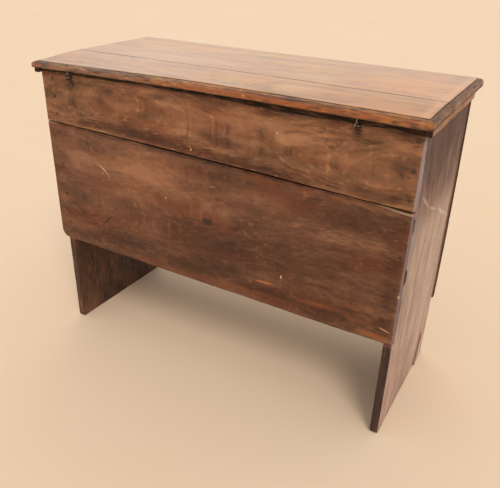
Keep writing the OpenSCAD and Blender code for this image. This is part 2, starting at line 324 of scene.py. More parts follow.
def board(node, axes, outward, seed, rim=None, arris=None, step=None, edges=(), splits=(), bend=None,
          relief=1.0, extra_u=(), extra_v=()):
    """Closed skin of a board: a point's place is its share of the way between the outline's edges, less the
    section's inset, and its height is the section's, bent with the board and hollowed by the plane.

    node is the CAD node whose box the board fills, axes are the row axes along, across and through it, and
    outward is the sign of the outer face. edges gives edges of the outline that aren't straight, as
    functions: low_u and high_u of v, low_v and high_v of u. relief is the share of the plane's full depth."""
    boards = settings().boards
    lo, hi = corners_of(node)
    along, across, through = axes
    size = hi - lo
    thickness = size[through]
    rim = rim or eased_rim(thickness, arris or boards.arris)
    step = step or boards.step
    margin = 2.5 * MM
    # Lines along a split, in widths from its middle: there, at its walls' feet, at its rims and past them
    spread = np.array([-1.7, -1, -0.55, 0, 0.55, 1, 1.7]) / 2
    clusters = [(s.across - lo[across]) + spread * s.width for s in splits]
    a_lines = spaced(size[along], step, margin, extra_u)
    b_lines = spaced(size[across], step, margin, [*clusters, *extra_v])
    rings = len(rim.height)
    quads, i, j = slab_faces(len(a_lines), len(b_lines), rings - 2)
    grid_a, grid_b = (g.ravel() for g in np.meshgrid(a_lines, b_lines, indexing="ij"))
    a = np.concatenate([grid_a, grid_a, np.tile(a_lines[i], rings - 2)])
    b = np.concatenate([grid_b, grid_b, np.tile(b_lines[j], rings - 2)])
    ring = np.repeat(np.concatenate([[0, rings - 1], np.arange(1, rings - 1)]),
                     [len(grid_a)] * 2 + [len(i)] * (rings - 2))

    u = lo[along] + a * size[along]
    v = lo[across] + b * size[across]
    # The arris at each face has dents of its own
    half = rim.half[ring]
    upper_dents, lower_dents = (
        blots(u, v, 40 * MM, 40 * MM, start, 3) + 0.5 * blots(u, v, 9 * MM, 9 * MM, start + 4, 1)
        for start in (seed + 11, seed + 21))
    dents = np.where(half < 0, lower_dents, upper_dents)
    ease = 0.3 * dents + 1.9 * smooth(dents, 0.85, 1.6)
    inset = rim.insets[:, ring] + rim.soft[ring] * ease
    low_u, high_u, low_v, high_v = (
        edges[side](run) if side in edges else place for side, place, run in zip(
            SIDES, (lo[along], hi[along], lo[across], hi[across]), (v, v, u, u)))
    offset = {s: v - s.across for s in splits}
    u = low_u + inset[0] + a * (high_u - low_u - inset[0] - inset[1])
    v = low_v + inset[2] + b * (high_v - low_v - inset[2] - inset[3])
    w = rim.height[ring] + rim.slump[ring] * ease

    upper = w / thickness
    on_face = (ring == 0) | (ring == rings - 1)
    from_edge = np.minimum.reduce([u - low_u, high_u - u, v - low_v, high_v - v])
    grime = np.where(on_face, 0, rim.grime[ring])
    if relief:
        inside = smooth(from_edge, 0, 12 * MM)
        furrow = blots(u, v, 260 * MM, 34 * MM, seed + 1) + 0.35 * blots(u, v, 60 * MM, 14 * MM, seed + 3)
        behind = blots(u, v, 240 * MM, 40 * MM, seed + 5)
        w = w + relief * boards.scrape * inside * (upper * furrow - (1 - upper) * behind)
    for number, s in enumerate(splits):
        window = smooth(u, s.start, s.start + 25 * MM) * fade(u, s.end - 25 * MM, s.end)
        wander = 1.6 * MM * wave(u, 55 * MM, seed + 31 + number)
        wander = wander + s.lean * (0.5 - smooth(u, s.start, s.end))
        near = np.exp(-(offset[s] / (22 * MM)) ** 2)
        close = np.abs(offset[s]) < 0.9 * s.width
        v = v + wander * near + np.where(close, offset[s] * (0.25 + 0.75 * window - 1), 0)
        w = w + s.spring * window * (offset[s] < -0.1 * s.width) * fade(-offset[s], 0, 90 * MM)
        notch = np.clip((0.5 * s.width - np.abs(offset[s])) / (0.2 * s.width), 0, 1) * window
        side = upper if s.face > 0 else 1 - upper
        w = w - s.face * s.depth * notch * side
        # The walls of a crack are painted dark: painted shade
        grime = np.maximum(grime, notch * (side > 0.5))
    if bend:
        w = w + outward * bend(u, v)

    worn = np.where(on_face, 0.95 * np.exp(-from_edge / (4 * MM)), rim.wear[ring])
    worn = np.clip(worn * (0.75 + 0.55 * blots(u, v, 50 * MM, 30 * MM, seed + 41, 3)), 0, 1)
    raw = smooth(ease, 0.9, 2.0) * np.where(on_face, np.exp(-from_edge / (3 * MM)), np.abs(half))
    border = ~on_face | (a == 0) | (a == 1) | (b == 0) | (b == 1)
    raw = np.maximum(raw, rim.bare[ring] * border * (0.8 + 0.6 * blots(u, v, 70 * MM, 70 * MM, seed + 45)))
    end = ~on_face & ((a == 0) | (a == 1))
    points = np.empty((len(u), 3))
    points[:, along] = u
    points[:, across] = v
    points[:, through] = (lo[through] + w) if outward > 0 else (hi[through] - w)
    inner = (ring == rings - 1).astype(float)
    return points, [quads], dict(zip(MARKS, (worn, np.clip(raw, 0, 1), grime, end.astype(float), inner)))


def iron_stain_and_shade(points, places, reach=6.5 * MM):
    """How black iron has stained the wood, and at the hinges their painted shadow: a bell curve of the
    distance from the nearest place.
    """
    away = np.linalg.norm(points[:, None] - np.asarray(places)[None], axis=2).min(1)
    return np.exp(-(away / reach) ** 2)


def add_dirt_and_shade(marks, *kinds):
    """Adds kinds of dirt and painted shade to a board's marks: where several meet, the thickest counts, up to
    full cover.
    """
    for dirt_and_shade in kinds:
        marks["grime"] = np.clip(np.maximum(marks["grime"], dirt_and_shade), 0, 1)


# Iron: tubes along a path, and hammered heads on square shanks

def tube(path, flat, radius):
    """Closed tube: a circle carried along a path in the plane square to flat, with a fan at each end.
    radius has a row for each point of the path and a column for each point round it."""
    count, sides = radius.shape
    tangent = np.gradient(path, axis=0)
    tangent /= np.linalg.norm(tangent, axis=1)[:, None]
    side = np.cross(tangent, flat)
    turn = np.arange(sides) * 2 * np.pi / sides
    ring = side[:, None] * np.cos(turn)[:, None] + np.asarray(flat)[None, None] * np.sin(turn)[:, None]
    skin = path[:, None] + ring * radius[..., None]
    points = np.concatenate([skin.reshape(-1, 3), path[:1], path[-1:]])
    index = np.arange(count * sides).reshape(count, sides)
    ahead = np.roll(index, -1, axis=1)
    quads = np.stack([index[:-1], ahead[:-1], ahead[1:], index[1:]], -1).reshape(-1, 4)
    first = np.stack([np.full(sides, count * sides), ahead[0], index[0]], -1)
    last = np.stack([np.full(sides, count * sides + 1), index[-1], ahead[-1]], -1)
    return points, [quads, first, last]


def forged_radius(path, radius, seed):
    """A wire's radius at each ring and side, about a tenth of a millimetre up and down from the hammer."""
    run = np.arange(len(path))[:, None] * 0.22 + np.zeros(AROUND)
    around = np.arange(AROUND)[None] / AROUND * 3 + np.zeros((len(path), 1))
    return radius * (1 + 0.07 * lattice(np.stack([run, around], -1), seed))


def staple_path(eye, half_gap, reach, clinch=0.0, spacing=0.5 * MM):
    """Path of a wire staple in a plane: up one leg, round the eye and down the other leg, its corners eased.
    The eye's middle is the origin, the legs run towards -q, and clinch is how much of each is bent apart."""
    start = math.asin(half_gap / eye)
    turn = np.linspace(start, 2 * np.pi - start, round(2 * np.pi * eye / spacing))
    leg = np.arange(reach, eye * math.cos(start), -spacing)
    bent = half_gap + np.arange(clinch, 0, -spacing)
    down = np.concatenate([bent, np.full(len(leg), half_gap)])
    p = np.concatenate([down, eye * np.sin(turn), -down[::-1]])
    leg = np.concatenate([np.full(len(bent), reach), leg])
    q = -np.concatenate([leg, eye * np.cos(turn), leg[::-1]])
    near = 3
    window = np.ones(2 * near + 1) / (2 * near + 1)
    for _ in range(2):
        p[near:-near] = np.convolve(p, window, "valid")
        q[near:-near] = np.convolve(q, window, "valid")
    return p[::2], q[::2]


def nail_group(places, outward, iron, depth, seed):
    """Hammered nails: rings of twelve points carried down from the crown, under the head and along a square
    shank to its point. Each nail is turned and tilted by chance and each facet of its head is uneven."""
    chance = np.random.default_rng(seed)
    count, sides = len(places), AROUND
    normal = np.array(outward, float)
    first = np.cross(normal, [1.0, 0, 0] if abs(normal[0]) < 0.5 else [0, 1.0, 0])
    second = np.cross(normal, first)
    radius, half_w = iron.head / 2, iron.nail_w / 2
    turn = np.arange(sides) * 2 * np.pi / sides
    square = 1 / np.maximum(np.abs(np.cos(turn)), np.abs(np.sin(turn)))
    facet = 1 + 0.11 * np.cos(4 * turn + 0.6)
    # Share of the head's radius or of the shank's half width, and the height, of each ring
    head = [(0.34, 0.97), (0.66, 0.78), (0.94, 0.36), (1.0, 0.12)]
    rings = [radius * share * facet for share, _ in head] + [0.93 * radius * facet]
    heights = [iron.crown * rise for _, rise in head] + [-0.5 * MM]
    rings += [half_w * square, half_w * square * 0.95, half_w * square * 0.25]
    heights += [-0.9 * MM, -0.7 * depth, -depth]
    rings, heights = np.array(rings), np.array(heights)
    rough = chance.normal(0, 1, (count, len(rings), sides))
    on_head = (np.arange(len(rings)) < len(head) + 1)[None, :, None]
    reach = rings[None] * (1 + 0.09 * rough * on_head)
    rise = heights[None, :, None] + 0.1 * iron.crown * chance.normal(0, 1, rough.shape) * on_head
    spin = chance.uniform(0, np.pi / 2, count)[:, None, None]
    p, q = reach * np.cos(turn + spin), reach * np.sin(turn + spin)
    lean = chance.normal(0, 0.05, (2, count))[..., None, None]
    shift = np.where(rise > -1 * MM, 0, rise)
    p, q = p + lean[0] * shift, q + lean[1] * shift
    rise = rise + (lean[0] * p + lean[1] * q) * on_head
    skin = (places[:, None, None] + p[..., None] * first + q[..., None] * second
            + rise[..., None] * normal)
    crown = places + iron.crown * normal
    tip = places - (depth + 1 * MM) * normal
    tip += (lean[0, :, :, 0] * first + lean[1, :, :, 0] * second) * -depth
    each = len(rings) * sides
    index = np.arange(count * each).reshape(count, len(rings), sides)
    ahead = np.roll(index, -1, axis=2)
    quads = np.stack([index[:, :-1], index[:, 1:], ahead[:, 1:], ahead[:, :-1]], -1).reshape(-1, 4)
    crowns = count * each + np.arange(count)[:, None] + np.zeros(sides, int)
    caps = np.stack([crowns, index[:, 0], ahead[:, 0]], -1).reshape(-1, 3)
    tips = np.stack([crowns + count, ahead[:, -1], index[:, -1]], -1).reshape(-1, 3)
    return np.concatenate([skin.reshape(-1, 3), crown, tip]), [quads, caps, tips]


def grouped(points, gap=10 * MM):
    """Middles of the clusters of points that lie more than gap apart, parted along one axis after another."""
    groups = [np.asarray(points)]
    for axis in (X, Y, Z):
        parted = []
        for group in groups:
            group = group[np.argsort(group[:, axis])]
            parted += np.split(group, np.flatnonzero(np.diff(group[:, axis]) > gap) + 1)
        groups = parted
    return np.array([(g.min(0) + g.max(0)) / 2 for g in groups])


def nail_places(node, axis, sign):
    """Where the nails of a CAD node meet the wood: under the middle of each head's flat."""
    mesh = frame["nodes"][node].data
    points = np.empty(len(mesh.vertices) * 3)
    mesh.vertices.foreach_get("co", points)
    points = points.reshape(-1, 3)
    top = (points[:, axis] * sign).max()
    flats = grouped(points[points[:, axis] * sign > top - 0.1 * MM])
    flats[:, axis] = sign * (top - settings().iron.crown)
    return flats


# Pieces

def settings():
    return bpy.context.scene.coffer


def new_piece(name, points, faces, material, body, replaces, marks=None):
    """Makes a mesh of the points and faces, its faces outwards, hangs it under its body's empty and hides the
    CAD parts it replaces.
    """
    volume = 0
    for part in faces:
        first = points[part[:, 0]]
        for k in range(1, part.shape[1] - 1):
            volume += np.einsum("ij,ij->", first, np.cross(points[part[:, k]], points[part[:, k + 1]]))
    if volume < 0:
        faces = [part[:, ::-1] for part in faces]
    mesh = bpy.data.meshes.new(name)
    corners = np.concatenate([part.ravel() for part in faces])
    sizes = np.concatenate([np.full(len(part), part.shape[1]) for part in faces])
    mesh.vertices.add(len(points))
    mesh.vertices.foreach_set("co", points.astype(np.float32).ravel())
    mesh.loops.add(len(corners))
    mesh.loops.foreach_set("vertex_index", corners.astype(np.int32))
    mesh.polygons.add(len(sizes))
    mesh.polygons.foreach_set("loop_start", (np.cumsum(sizes) - sizes).astype(np.int32))
    mesh.update(calc_edges=True)
    if mesh.validate():
        raise RuntimeError(f"{name} has bad faces")
    for mark, values in (marks or {}).items():
        mesh.attributes.new(mark, "FLOAT", "POINT").data.foreach_set("value", values.astype(np.float32))
    mesh.polygons.foreach_set("use_smooth", np.ones(len(sizes), bool))
    mesh.set_sharp_from_angle(angle=SHARP)
    piece = bpy.data.objects.new(name, mesh)
    bpy.context.scene.collection.objects.link(piece)
    mesh.materials.append(material)
    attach(piece, body)
    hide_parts(*replaces)
    return piece


def corners_of(node):
    """Lowest and highest corner of a CAD node, as arrays in metres."""
    lo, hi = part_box(node)
    return np.array(lo), np.array(hi)


def end_bow(y, z):
    """How far an end plank stands outwards: most at mid-height and towards the front."""
    lo, hi = corners_of("end_left")
    forward = 1 - (y - lo[Y]) / (hi[Y] - lo[Y])
    return settings().boards.bow * np.sin(np.pi * np.clip(z / hi[Z], 0, 1)) * (0.25 + 0.75 * forward)


def lid_lift(x, y):
    """How far the warped lid stands above its true place: its rear edge is bowed, a front corner lifted."""
    lid = settings().lid
    lo, hi = corners_of("lid_front_board")
    back = corners_of("lid_rear_board")[1][Y]
    run = 2 * (x - lo[X]) / (hi[X] - lo[X]) - 1
    rise = (y - lo[Y]) / (back - lo[Y])
    bowed = lid.rear_lift * (1 - run ** 2) * (0.4 + 0.6 * rise)
    return bowed + lid.corner_lift * ((1 + run) / 2) ** 2 * (1 - rise)


# Shaders

def add(tree, kind, inputs=None, stops=(), out=0, **choices):
    """Adds a node with its choices, its inputs as values, hex colours or links, and a ramp's stops, and
    gives back one of its outputs, if it has any."""
    made = tree.nodes.new("ShaderNode" + kind)
    for name, value in choices.items():
        setattr(made, name, value)
    for name, value in (inputs or {}).items():
        if isinstance(value, bpy.types.NodeSocket):
            tree.links.new(value, made.inputs[name])
        else:
            made.inputs[name].default_value = (*linear(value), 1) if isinstance(value, str) else value
    for number, (place, tone) in enumerate(stops):
        ramp = made.color_ramp.elements
        stop = ramp[number] if number < 2 else ramp.new(place)
        stop.position = place
        stop.color = (*linear(tone), 1)
    return made.outputs[out] if made.outputs else None


# Indices of the colour sockets of a Mix node
MIX_A, MIX_B, MIX_OUT = 6, 7, 2


def new_material(name, **values):
    """An empty material with a shader whose sockets hold the given values."""
    material = bpy.data.materials.new(name)
    material.use_nodes = True
    tree = material.node_tree
    tree.nodes.clear()
    shader = add(tree, "BsdfPrincipled", {k.replace("_", " "): v for k, v in values.items()})
    add(tree, "OutputMaterial", {"Surface": shader})
    return material, tree, shader.node


def cloud(tree, place, sizes, start=0.0, detail=2.0, roughness=0.5, distortion=0.0, levels=None):
    """Cloudy pattern, about 0 to 1, whose blots have the given sizes in millimetres along each axis.

    levels stretch it: the two values of the noise between which it changes smoothly, and what from and to."""
    scaled = add(tree, "VectorMath", {
        0: place, 1: [1 / (s * MM) for s in sizes], 2: (start, start * 1.7, start * 0.6)},
        operation="MULTIPLY_ADD")
    pattern = add(tree, "TexNoise", {
        "Vector": scaled, "Scale": 1.0, "Detail": detail, "Roughness": roughness,
        "Distortion": distortion})
    if levels:
        pattern = add(tree, "MapRange", dict(enumerate((pattern, *levels))),
                      interpolation_type="SMOOTHSTEP")
    return pattern


# A mark on a board: its middle along and across the grain and its half sizes in millimetres, its tilt in
# degrees, its colour, how strongly it shows and how soft its rim is. A later mark lies over an earlier one
Mark = namedtuple("Mark", "along across half_long half_wide tilt tone strength soft")

# A knot: its middle along and across the grain and its radius in millimetres, and its heart's colour
Knot = namedtuple("Knot", "along across radius tone")

# How much broad patches, growth rings, pore lines and curled figure each count in a board's tone
Figure = namedtuple("Figure", "patches rings pores curl")


def ellipse(tree, grain, along, across, half_long, half_wide, tilt=0.0, levels=None):
    """Distance from an ellipse's middle on a board's face, 1 at its rim, stretched by levels as in cloud."""
    local = add(tree, "Mapping", {
        "Vector": grain, "Location": (along * MM, across * MM, 0), "Rotation": (0, 0, math.radians(tilt)),
        "Scale": (half_long * MM, half_wide * MM, 100)}, vector_type="TEXTURE")
    away = add(tree, "VectorMath", {0: local}, out="Value", operation="LENGTH")
    if levels:
        away = add(tree, "MapRange", dict(enumerate((away, *levels))),
                   interpolation_type="SMOOTHSTEP")
    return away


def layer(tree, base, tone, pattern, low=0.0, high=1.0, strength=1.0):
    """Lays a colour over the base where a pattern passes from its low to its high level, up to a strength."""
    share = add(tree, "MapRange", {0: pattern, 1: low, 2: high, 4: strength},
                interpolation_type="SMOOTHSTEP")
    return add(tree, "Mix", {0: share, MIX_A: base, MIX_B: tone}, out=MIX_OUT, data_type="RGBA")


def grain_distance(tree, parts, axes, grain, heart, start):
    """Distance from the tree's heart, swayed by slow noise, from which rings and pores are drawn."""
    sway = cloud(tree, grain, (330, 90, 90), start, 2)
    swing = cloud(tree, grain, (520, 160, 160), start + 9, 1)
    across = add(tree, "Math", {0: sway, 1: 0.06, 2: parts[axes[1]]}, operation="MULTIPLY_ADD")
    through = add(tree, "Math", {0: swing, 1: 0.08, 2: parts[axes[2]]}, operation="MULTIPLY_ADD")
    flat = add(tree, "CombineXYZ", {1: across, 2: through})
    middle = (0, heart[0] * MM + 0.03, heart[1] * MM + 0.04)
    return add(tree, "VectorMath", {0: flat, 1: middle}, out="Value", operation="DISTANCE")


def aged_oak(name, axes, heart, tones, start, rings=7.0, streak=2.6, figure=Figure(0.8, 0.5, 0.55, 0),
             patch=(190, 60, 60), contrast=1.0, red="#7a3f22", red_share=0.35, worn="#b57d52",
             worn_share=0.6, raw="#c3a07a", dirt_and_shade="#1e130c", dry="#7d6650", end_tone_and_sheen="#4a3325", end_share=0.6,
             gloss=0.5, specular=0.3, bump=0.35, flecks=0.3, beads=0.25, specks=0.0, knots=(), marks=(),
             dull=(), pits=(), pit_tone="#64523e"):
    """Oak sawn through and through, scraped, and darkened by age: growth rings drawn out into long lines,
    pores, broken flecks, patches of old wax and dirt, painted shade, arrises rubbed pale and end grain gone
    dull.

    heart is where the rings' centre runs, across and through the board, in millimetres. rings and streak are
    the widths of a growth ring, 2 to 4 in real oak, and of a pore line, drawn coarser so that they show.
    knots and marks are rows of Knot and Mark; dull and pits are the ellipses, by their middles and half
    sizes, where the wood has lost its gloss or is pitted."""
    material, tree, shader = new_material(name, IOR=1.5, Specular_IOR_Level=specular)
    place = add(tree, "TexCoord", out="Object")
    parts = add(tree, "SeparateXYZ", {0: place}).node.outputs
    grain = add(tree, "CombineXYZ", {k: parts[axes[k]] for k in range(3)})

    # The rings bulge round each knot, whose own rim is rough
    radius = grain_distance(tree, parts, axes, grain, heart, start)
    rough_rim = cloud(tree, grain, (9, 6, 6), start + 2, 2, 0.6)
    hearts = []
    knots = [Knot(*knot) for knot in knots]
    for knot in knots:
        spot = (knot.along, knot.across, knot.radius * 1.8, knot.radius)
        push = ellipse(tree, grain, *spot, levels=(5.0, 0.0, 0.0, knot.radius * 1.8 * MM))
        radius = add(tree, "Math", {0: radius, 1: push}, operation="ADD")
        hearts.append(add(tree, "Math", {0: rough_rim, 1: 1.1, 2: ellipse(tree, grain, *spot)},
                          operation="MULTIPLY_ADD"))

    # Rings, pore lines and flecks follow that distance and change slowly along the grain
    drawn = add(tree, "CombineXYZ", {0: parts[axes[0]], 1: radius})
    ring = cloud(tree, drawn, (420, rings, 1000), start + 3, 1.5, 0.6)
    pore = cloud(tree, drawn, (70, streak, 1000), start + 5, 3, 0.65)
    fleck = cloud(tree, drawn, (22, 2.8, 1000), start + 7, 2, 0.6)
    ripple = cloud(tree, grain, (13, 80, 80), start + 15, 2, 0.5, 0.6)
    patches = cloud(tree, grain, patch, start + 13, 3.5, 0.6, 0.4)
    tone = 0.0
    for pattern, share in zip((patches, ring, pore, ripple), figure):
        if share:
            tone = add(tree, "Math", {0: pattern, 1: share, 2: tone}, operation="MULTIPLY_ADD")
    middle = 0.5 * sum(figure)
    half_range = TONE_REACH * math.hypot(*figure) / contrast
    tone = add(tree, "MapRange", {0: tone, 1: middle - half_range, 2: middle + half_range},
               interpolation_type="SMOOTHSTEP")
    base = add(tree, "ValToRGB", {0: tone}, stops=[
        (0.0, tones[0]), (1.0, tones[-1]),
        *((k / (len(tones) - 1), tones[k]) for k in range(1, len(tones) - 1))])
    ruddy = cloud(tree, grain, (240, 70, 70), start + 17, 2, 0.6, 0.5)
    base = layer(tree, base, red, ruddy, 0.46, 0.64, red_share)
    base = layer(tree, base, dirt_and_shade, pore, 0.54, 0.70, 0.35)
    base = layer(tree, base, worn, fleck, 0.57, 0.72, flecks)
    base = layer(tree, base, dirt_and_shade, fleck, 0.42, 0.28, beads)
    for knot, away in zip(knots, hearts):
        base = layer(tree, base, dirt_and_shade, away, 1.9, 1.0, 0.6)
        base = layer(tree, base, knot.tone, away, 1.35, 0.8, 0.8)
    marked = {mark: add(tree, "Attribute", out="Fac", attribute_name=mark) for mark in MARKS}
    # The inner face was never waxed and has none of the outer one's stains
    unwaxed = add(tree, "Mix", {0: 0.55, MIX_A: base, MIX_B: dry}, out=MIX_OUT, data_type="RGBA")
    if specks:
        dots = cloud(tree, grain, (7, 3, 3), start + 19, 1, 0.5, levels=(0.72, 0.78, 0.0, 1.0))
        rare = cloud(tree, grain, (130, 50, 50), start + 21, 1, 0.5, levels=(0.5, 0.65, 0.0, 1.0))
        dots = add(tree, "Math", {0: dots, 1: rare}, operation="MULTIPLY")
        base = layer(tree, base, raw, dots, strength=specks)
    # A small mark's rim is frayed, a wide stain's wanders in broader tongues
    ragged = {}
    for spot in itertools.starmap(Mark, marks):
        tongue = 3.5 if min(spot.half_long, spot.half_wide) > 200 else 1
        if tongue not in ragged:
            ragged[tongue] = cloud(tree, grain, (22 * tongue, 7 * tongue, 7 * tongue), start + 23, 2, 0.6)
        away = add(tree, "Math", {0: ragged[tongue], 1: 0.9, 2: ellipse(tree, grain, *spot[:5])},
                   operation="MULTIPLY_ADD")
        base = layer(tree, base, spot.tone, away, 1.45, 1.45 - spot.soft, spot.strength)
    if pits:
        holes = cloud(tree, grain, (12, 6, 6), start + 31, 3, 0.65, levels=(0.42, 0.66, 0.0, 1.0))
    for pitted in pits:
        near = ellipse(tree, grain, *pitted, levels=(1.3, 0.4, 0.0, 0.6))
        near = add(tree, "Math", {0: holes, 1: near}, operation="MULTIPLY")
        base = layer(tree, base, pit_tone, near)
    base = layer(tree, base, unwaxed, marked["inner"])

    # What the mesh says of each point: rubbed, sawn across the grain, bare, dirty, and in painted shade
    uneven = cloud(tree, grain, (30, 2.2, 2.2), start + 25, 3, 0.6, levels=(0.30, 0.58, 0.2, 1.0))
    rubbed = add(tree, "Math", {0: marked["wear"], 1: uneven}, operation="MULTIPLY")
    base = layer(tree, base, worn, rubbed, 0.12, 0.85, worn_share)
    rays = cloud(tree, grain, (400, 2.5, 9), start + 33, 3, 0.6, levels=(0.35, 0.6, 0.7, 1.0))
    sawn = add(tree, "Math", {0: marked["end"], 1: rays}, operation="MULTIPLY")
    base = layer(tree, base, end_tone_and_sheen, sawn, strength=end_share)
    base = layer(tree, base, raw, marked["raw"])
    streaks = cloud(tree, grain, (34, 2.4, 2.4), start + 35, 3, 0.6, levels=(0.62, 0.38, 0.62, 1.12))
    # The grime mark lays both dirt and painted shade in the dark colour
    soil_and_shade = add(tree, "Math", {0: marked["grime"], 1: streaks}, operation="MULTIPLY")
    base = layer(tree, base, dirt_and_shade, soil_and_shade)
    tree.links.new(base, shader.inputs["Base Color"])

    rough = cloud(tree, grain, (70, 30, 30), start + 27, 3, 0.6,
                  levels=(0.3, 0.7, gloss - 0.05, gloss + 0.08))
    for rougher, share in ((soil_and_shade, 0.4), (sawn, 0.3), (marked["inner"], 0.35)):
        rough = add(tree, "Math", {0: rougher, 1: share, 2: rough}, operation="MULTIPLY_ADD")
    for spot in dull:
        matt = ellipse(tree, grain, *spot, levels=(1.1, 0.6, 0.0, 0.4))
        rough = add(tree, "Math", {0: rough, 1: matt}, operation="ADD")
    tree.links.new(rough, shader.inputs["Roughness"])
    relief = cloud(tree, grain, (26, 10, 10), start + 29, 3, 0.6)
    for pattern, share in ((relief, 0.8), (pore, -0.6), (fleck, 0.8)):
        ring = add(tree, "Math", {0: pattern, 1: share, 2: ring}, operation="MULTIPLY_ADD")
    bumps = add(tree, "Bump", {"Strength": bump, "Distance": 0.7 * MM, "Height": ring})
    tree.links.new(bumps, shader.inputs["Normal"])
    return material


def forged_iron(name, dark, rust, start, metallic, rusted=1.0):
    """Wrought iron, hammered and long rusted: brown-black and dull, a little brighter where it is rubbed."""
    material, tree, shader = new_material(name, Metallic=metallic)
    place = add(tree, "TexCoord", out="Object")
    bloom = cloud(tree, place, (5, 5, 5), start, 4, 0.65)
    tree.links.new(layer(tree, dark, rust, bloom, 0.42, 0.62, rusted), shader.inputs["Base Color"])
    dull = cloud(tree, place, (5, 5, 5), start, 4, 0.65, levels=(0.42, 0.62, 0.28, 0.74))
    tree.links.new(dull, shader.inputs["Roughness"])
    beaten = cloud(tree, place, (2.4, 2.4, 2.4), start + 4, 3, 0.6)
    bumps = add(tree, "Bump", {"Strength": 0.5, "Distance": 0.4 * MM, "Height": beaten})
    tree.links.new(bumps, shader.inputs["Normal"])
    return material


def painted_floor(name, tone):
    """Matt floor paint, rolled: one pale colour with a very faint cloudiness."""
    material, tree, shader = new_material(name, Roughness=0.9, Specular_IOR_Level=0.15)
    place = add(tree, "TexCoord", out="Object")
    faint = cloud(tree, place, (900, 900, 900), 2, 3, 0.5)
    tree.links.new(layer(tree, (*tone, 1), "#ffffff", faint, 0.2, 0.8, 0.05), shader.inputs["Base Color"])
    return material


# Operators: one for each group of like pieces, and one for the stage

class MakeEnds(bpy.types.Operator):
    """Make the two end planks, whose lower parts are the legs"""

    bl_idname = "coffer.make_ends"
    bl_label = "End planks"

    def execute(self, context):
        boards = settings().boards
        back = corners_of("back_lower_board")[0][Z]
        # The left foot has split near its front edge, and the wood before the split has sprung out
        left_splits = [
            Split(-99 * MM, -30 * MM, 112 * MM, 3.6 * MM, 9 * MM, 1, 30 * MM, 3.4 * MM),
            Split(194 * MM, 66 * MM, 250 * MM, 2.0 * MM, 4 * MM, 1),
            Split(60 * MM, 470 * MM, 700 * MM, 1.2 * MM, 3 * MM, 1),
            Split(-20 * MM, -30 * MM, 140 * MM, 1.2 * MM, 3 * MM, 1)]
        right_splits = [Split(30 * MM, -30 * MM, 180 * MM, 1.4 * MM, 4 * MM, 1)]
        # Heights between which a splinter is gone from the left plank beside the back boards
        lost = [(536 * MM, 588 * MM), (410 * MM, 466 * MM)]
        for side, outward, rebate, splits, gone, start in (
                ("left", -1, back, left_splits, lost, 1.3),
                ("right", 1, boards.back_low_right, right_splits, (), 31.7)):
            node = f"end_{side}"
            lo, hi = corners_of(node)
            rear = hi[Y]
            seed = settings().seed + (100 if side == "left" else 200)

            def rear_edge(z):
                foot = boards.foot_round
                worn = foot - np.sqrt(foot ** 2 - np.clip(foot - (z - lo[Z]), 0, foot) ** 2)
                loose = 0.9 * MM * (1 + wave(z, 70 * MM, seed + 61))
                for low, high in gone:
                    depth = 8 * MM * smooth(z, low, low + 16 * MM)
                    loose = loose + depth * fade(z, high - 16 * MM, high)
                return rear - np.where(z > rebate, boards.back_t + loose, worn)

            def front_edge(z):
                return lo[Y] + 0.5 * MM * wave(z, 120 * MM, seed + 63)

            foot_lines = boards.foot_round * (1 - np.cos(np.linspace(0, np.pi / 2, 6)[1:]))
            step_lines = rebate + np.array([-1.2, -0.3, 0.3, 1.2]) * MM
            points, faces, marks = board(
                node, (Z, Y, X), outward, seed, edges={"low_v": front_edge, "high_v": rear_edge},
                splits=splits, bend=lambda z, y: outward * end_bow(y, z), extra_u=[foot_lines, step_lines])
            x, y, z = points.T
            inner = np.abs(x - (hi[X] if outward > 0 else lo[X])) / (hi[X] - lo[X])
            # Painted shade under the lid, rising to half strength at the case's top
            lid_shade = 0.5 * smooth(z, CASE_TOP - 30 * MM, CASE_TOP)
            foot_dirt = 0.5 * fade(z, 0, 30 * MM)
            foot_dirt = foot_dirt * (0.7 + 0.5 * blots(y, z, 30 * MM, 15 * MM, seed + 65))
            in_shade = 0.84 * smooth(inner, 0.4, 0.8)
            in_shade = in_shade * fade(z, CHEST_FLOOR - 40 * MM, CHEST_FLOOR - 10 * MM)
            # The painted shade is weaker next to the back's edge, in a wedge that widens downwards: a painted
            # patch of light
            in_shade = in_shade * (1 - 0.24 * smooth(y, 110 * MM + 0.3 * z, 140 * MM + 0.3 * z))
            in_shade = in_shade * (1 + 0.25 * blots(y, z, 60 * MM, 120 * MM, seed + 67))
            # Below the back boards the edge that faces the back is painted dark and unworn: painted shade
            rear_edge_shade = 0.8 * smooth(y, rear - 3.5 * MM, rear - 1 * MM) * fade(z, rebate - 8 * MM, rebate)
            rear_edge_shade = rear_edge_shade * (1 + 0.25 * blots(x, z, 12 * MM, 45 * MM, seed + 69))
            marks["wear"] = marks["wear"] * (1 - np.clip(rear_edge_shade, 0, 0.8))
            # Below the bottom board the inner face is seen from outside and looks like the outer one
            marks["inner"] = marks["inner"] * smooth(z, CHEST_FLOOR - 20 * MM, CHEST_FLOOR)
            add_dirt_and_shade(marks, lid_shade, foot_dirt, in_shade, rear_edge_shade)
            new_piece(f"{node}_plank", points, faces, end_oak(side, start), "case", [node], marks)
        return {"FINISHED"}


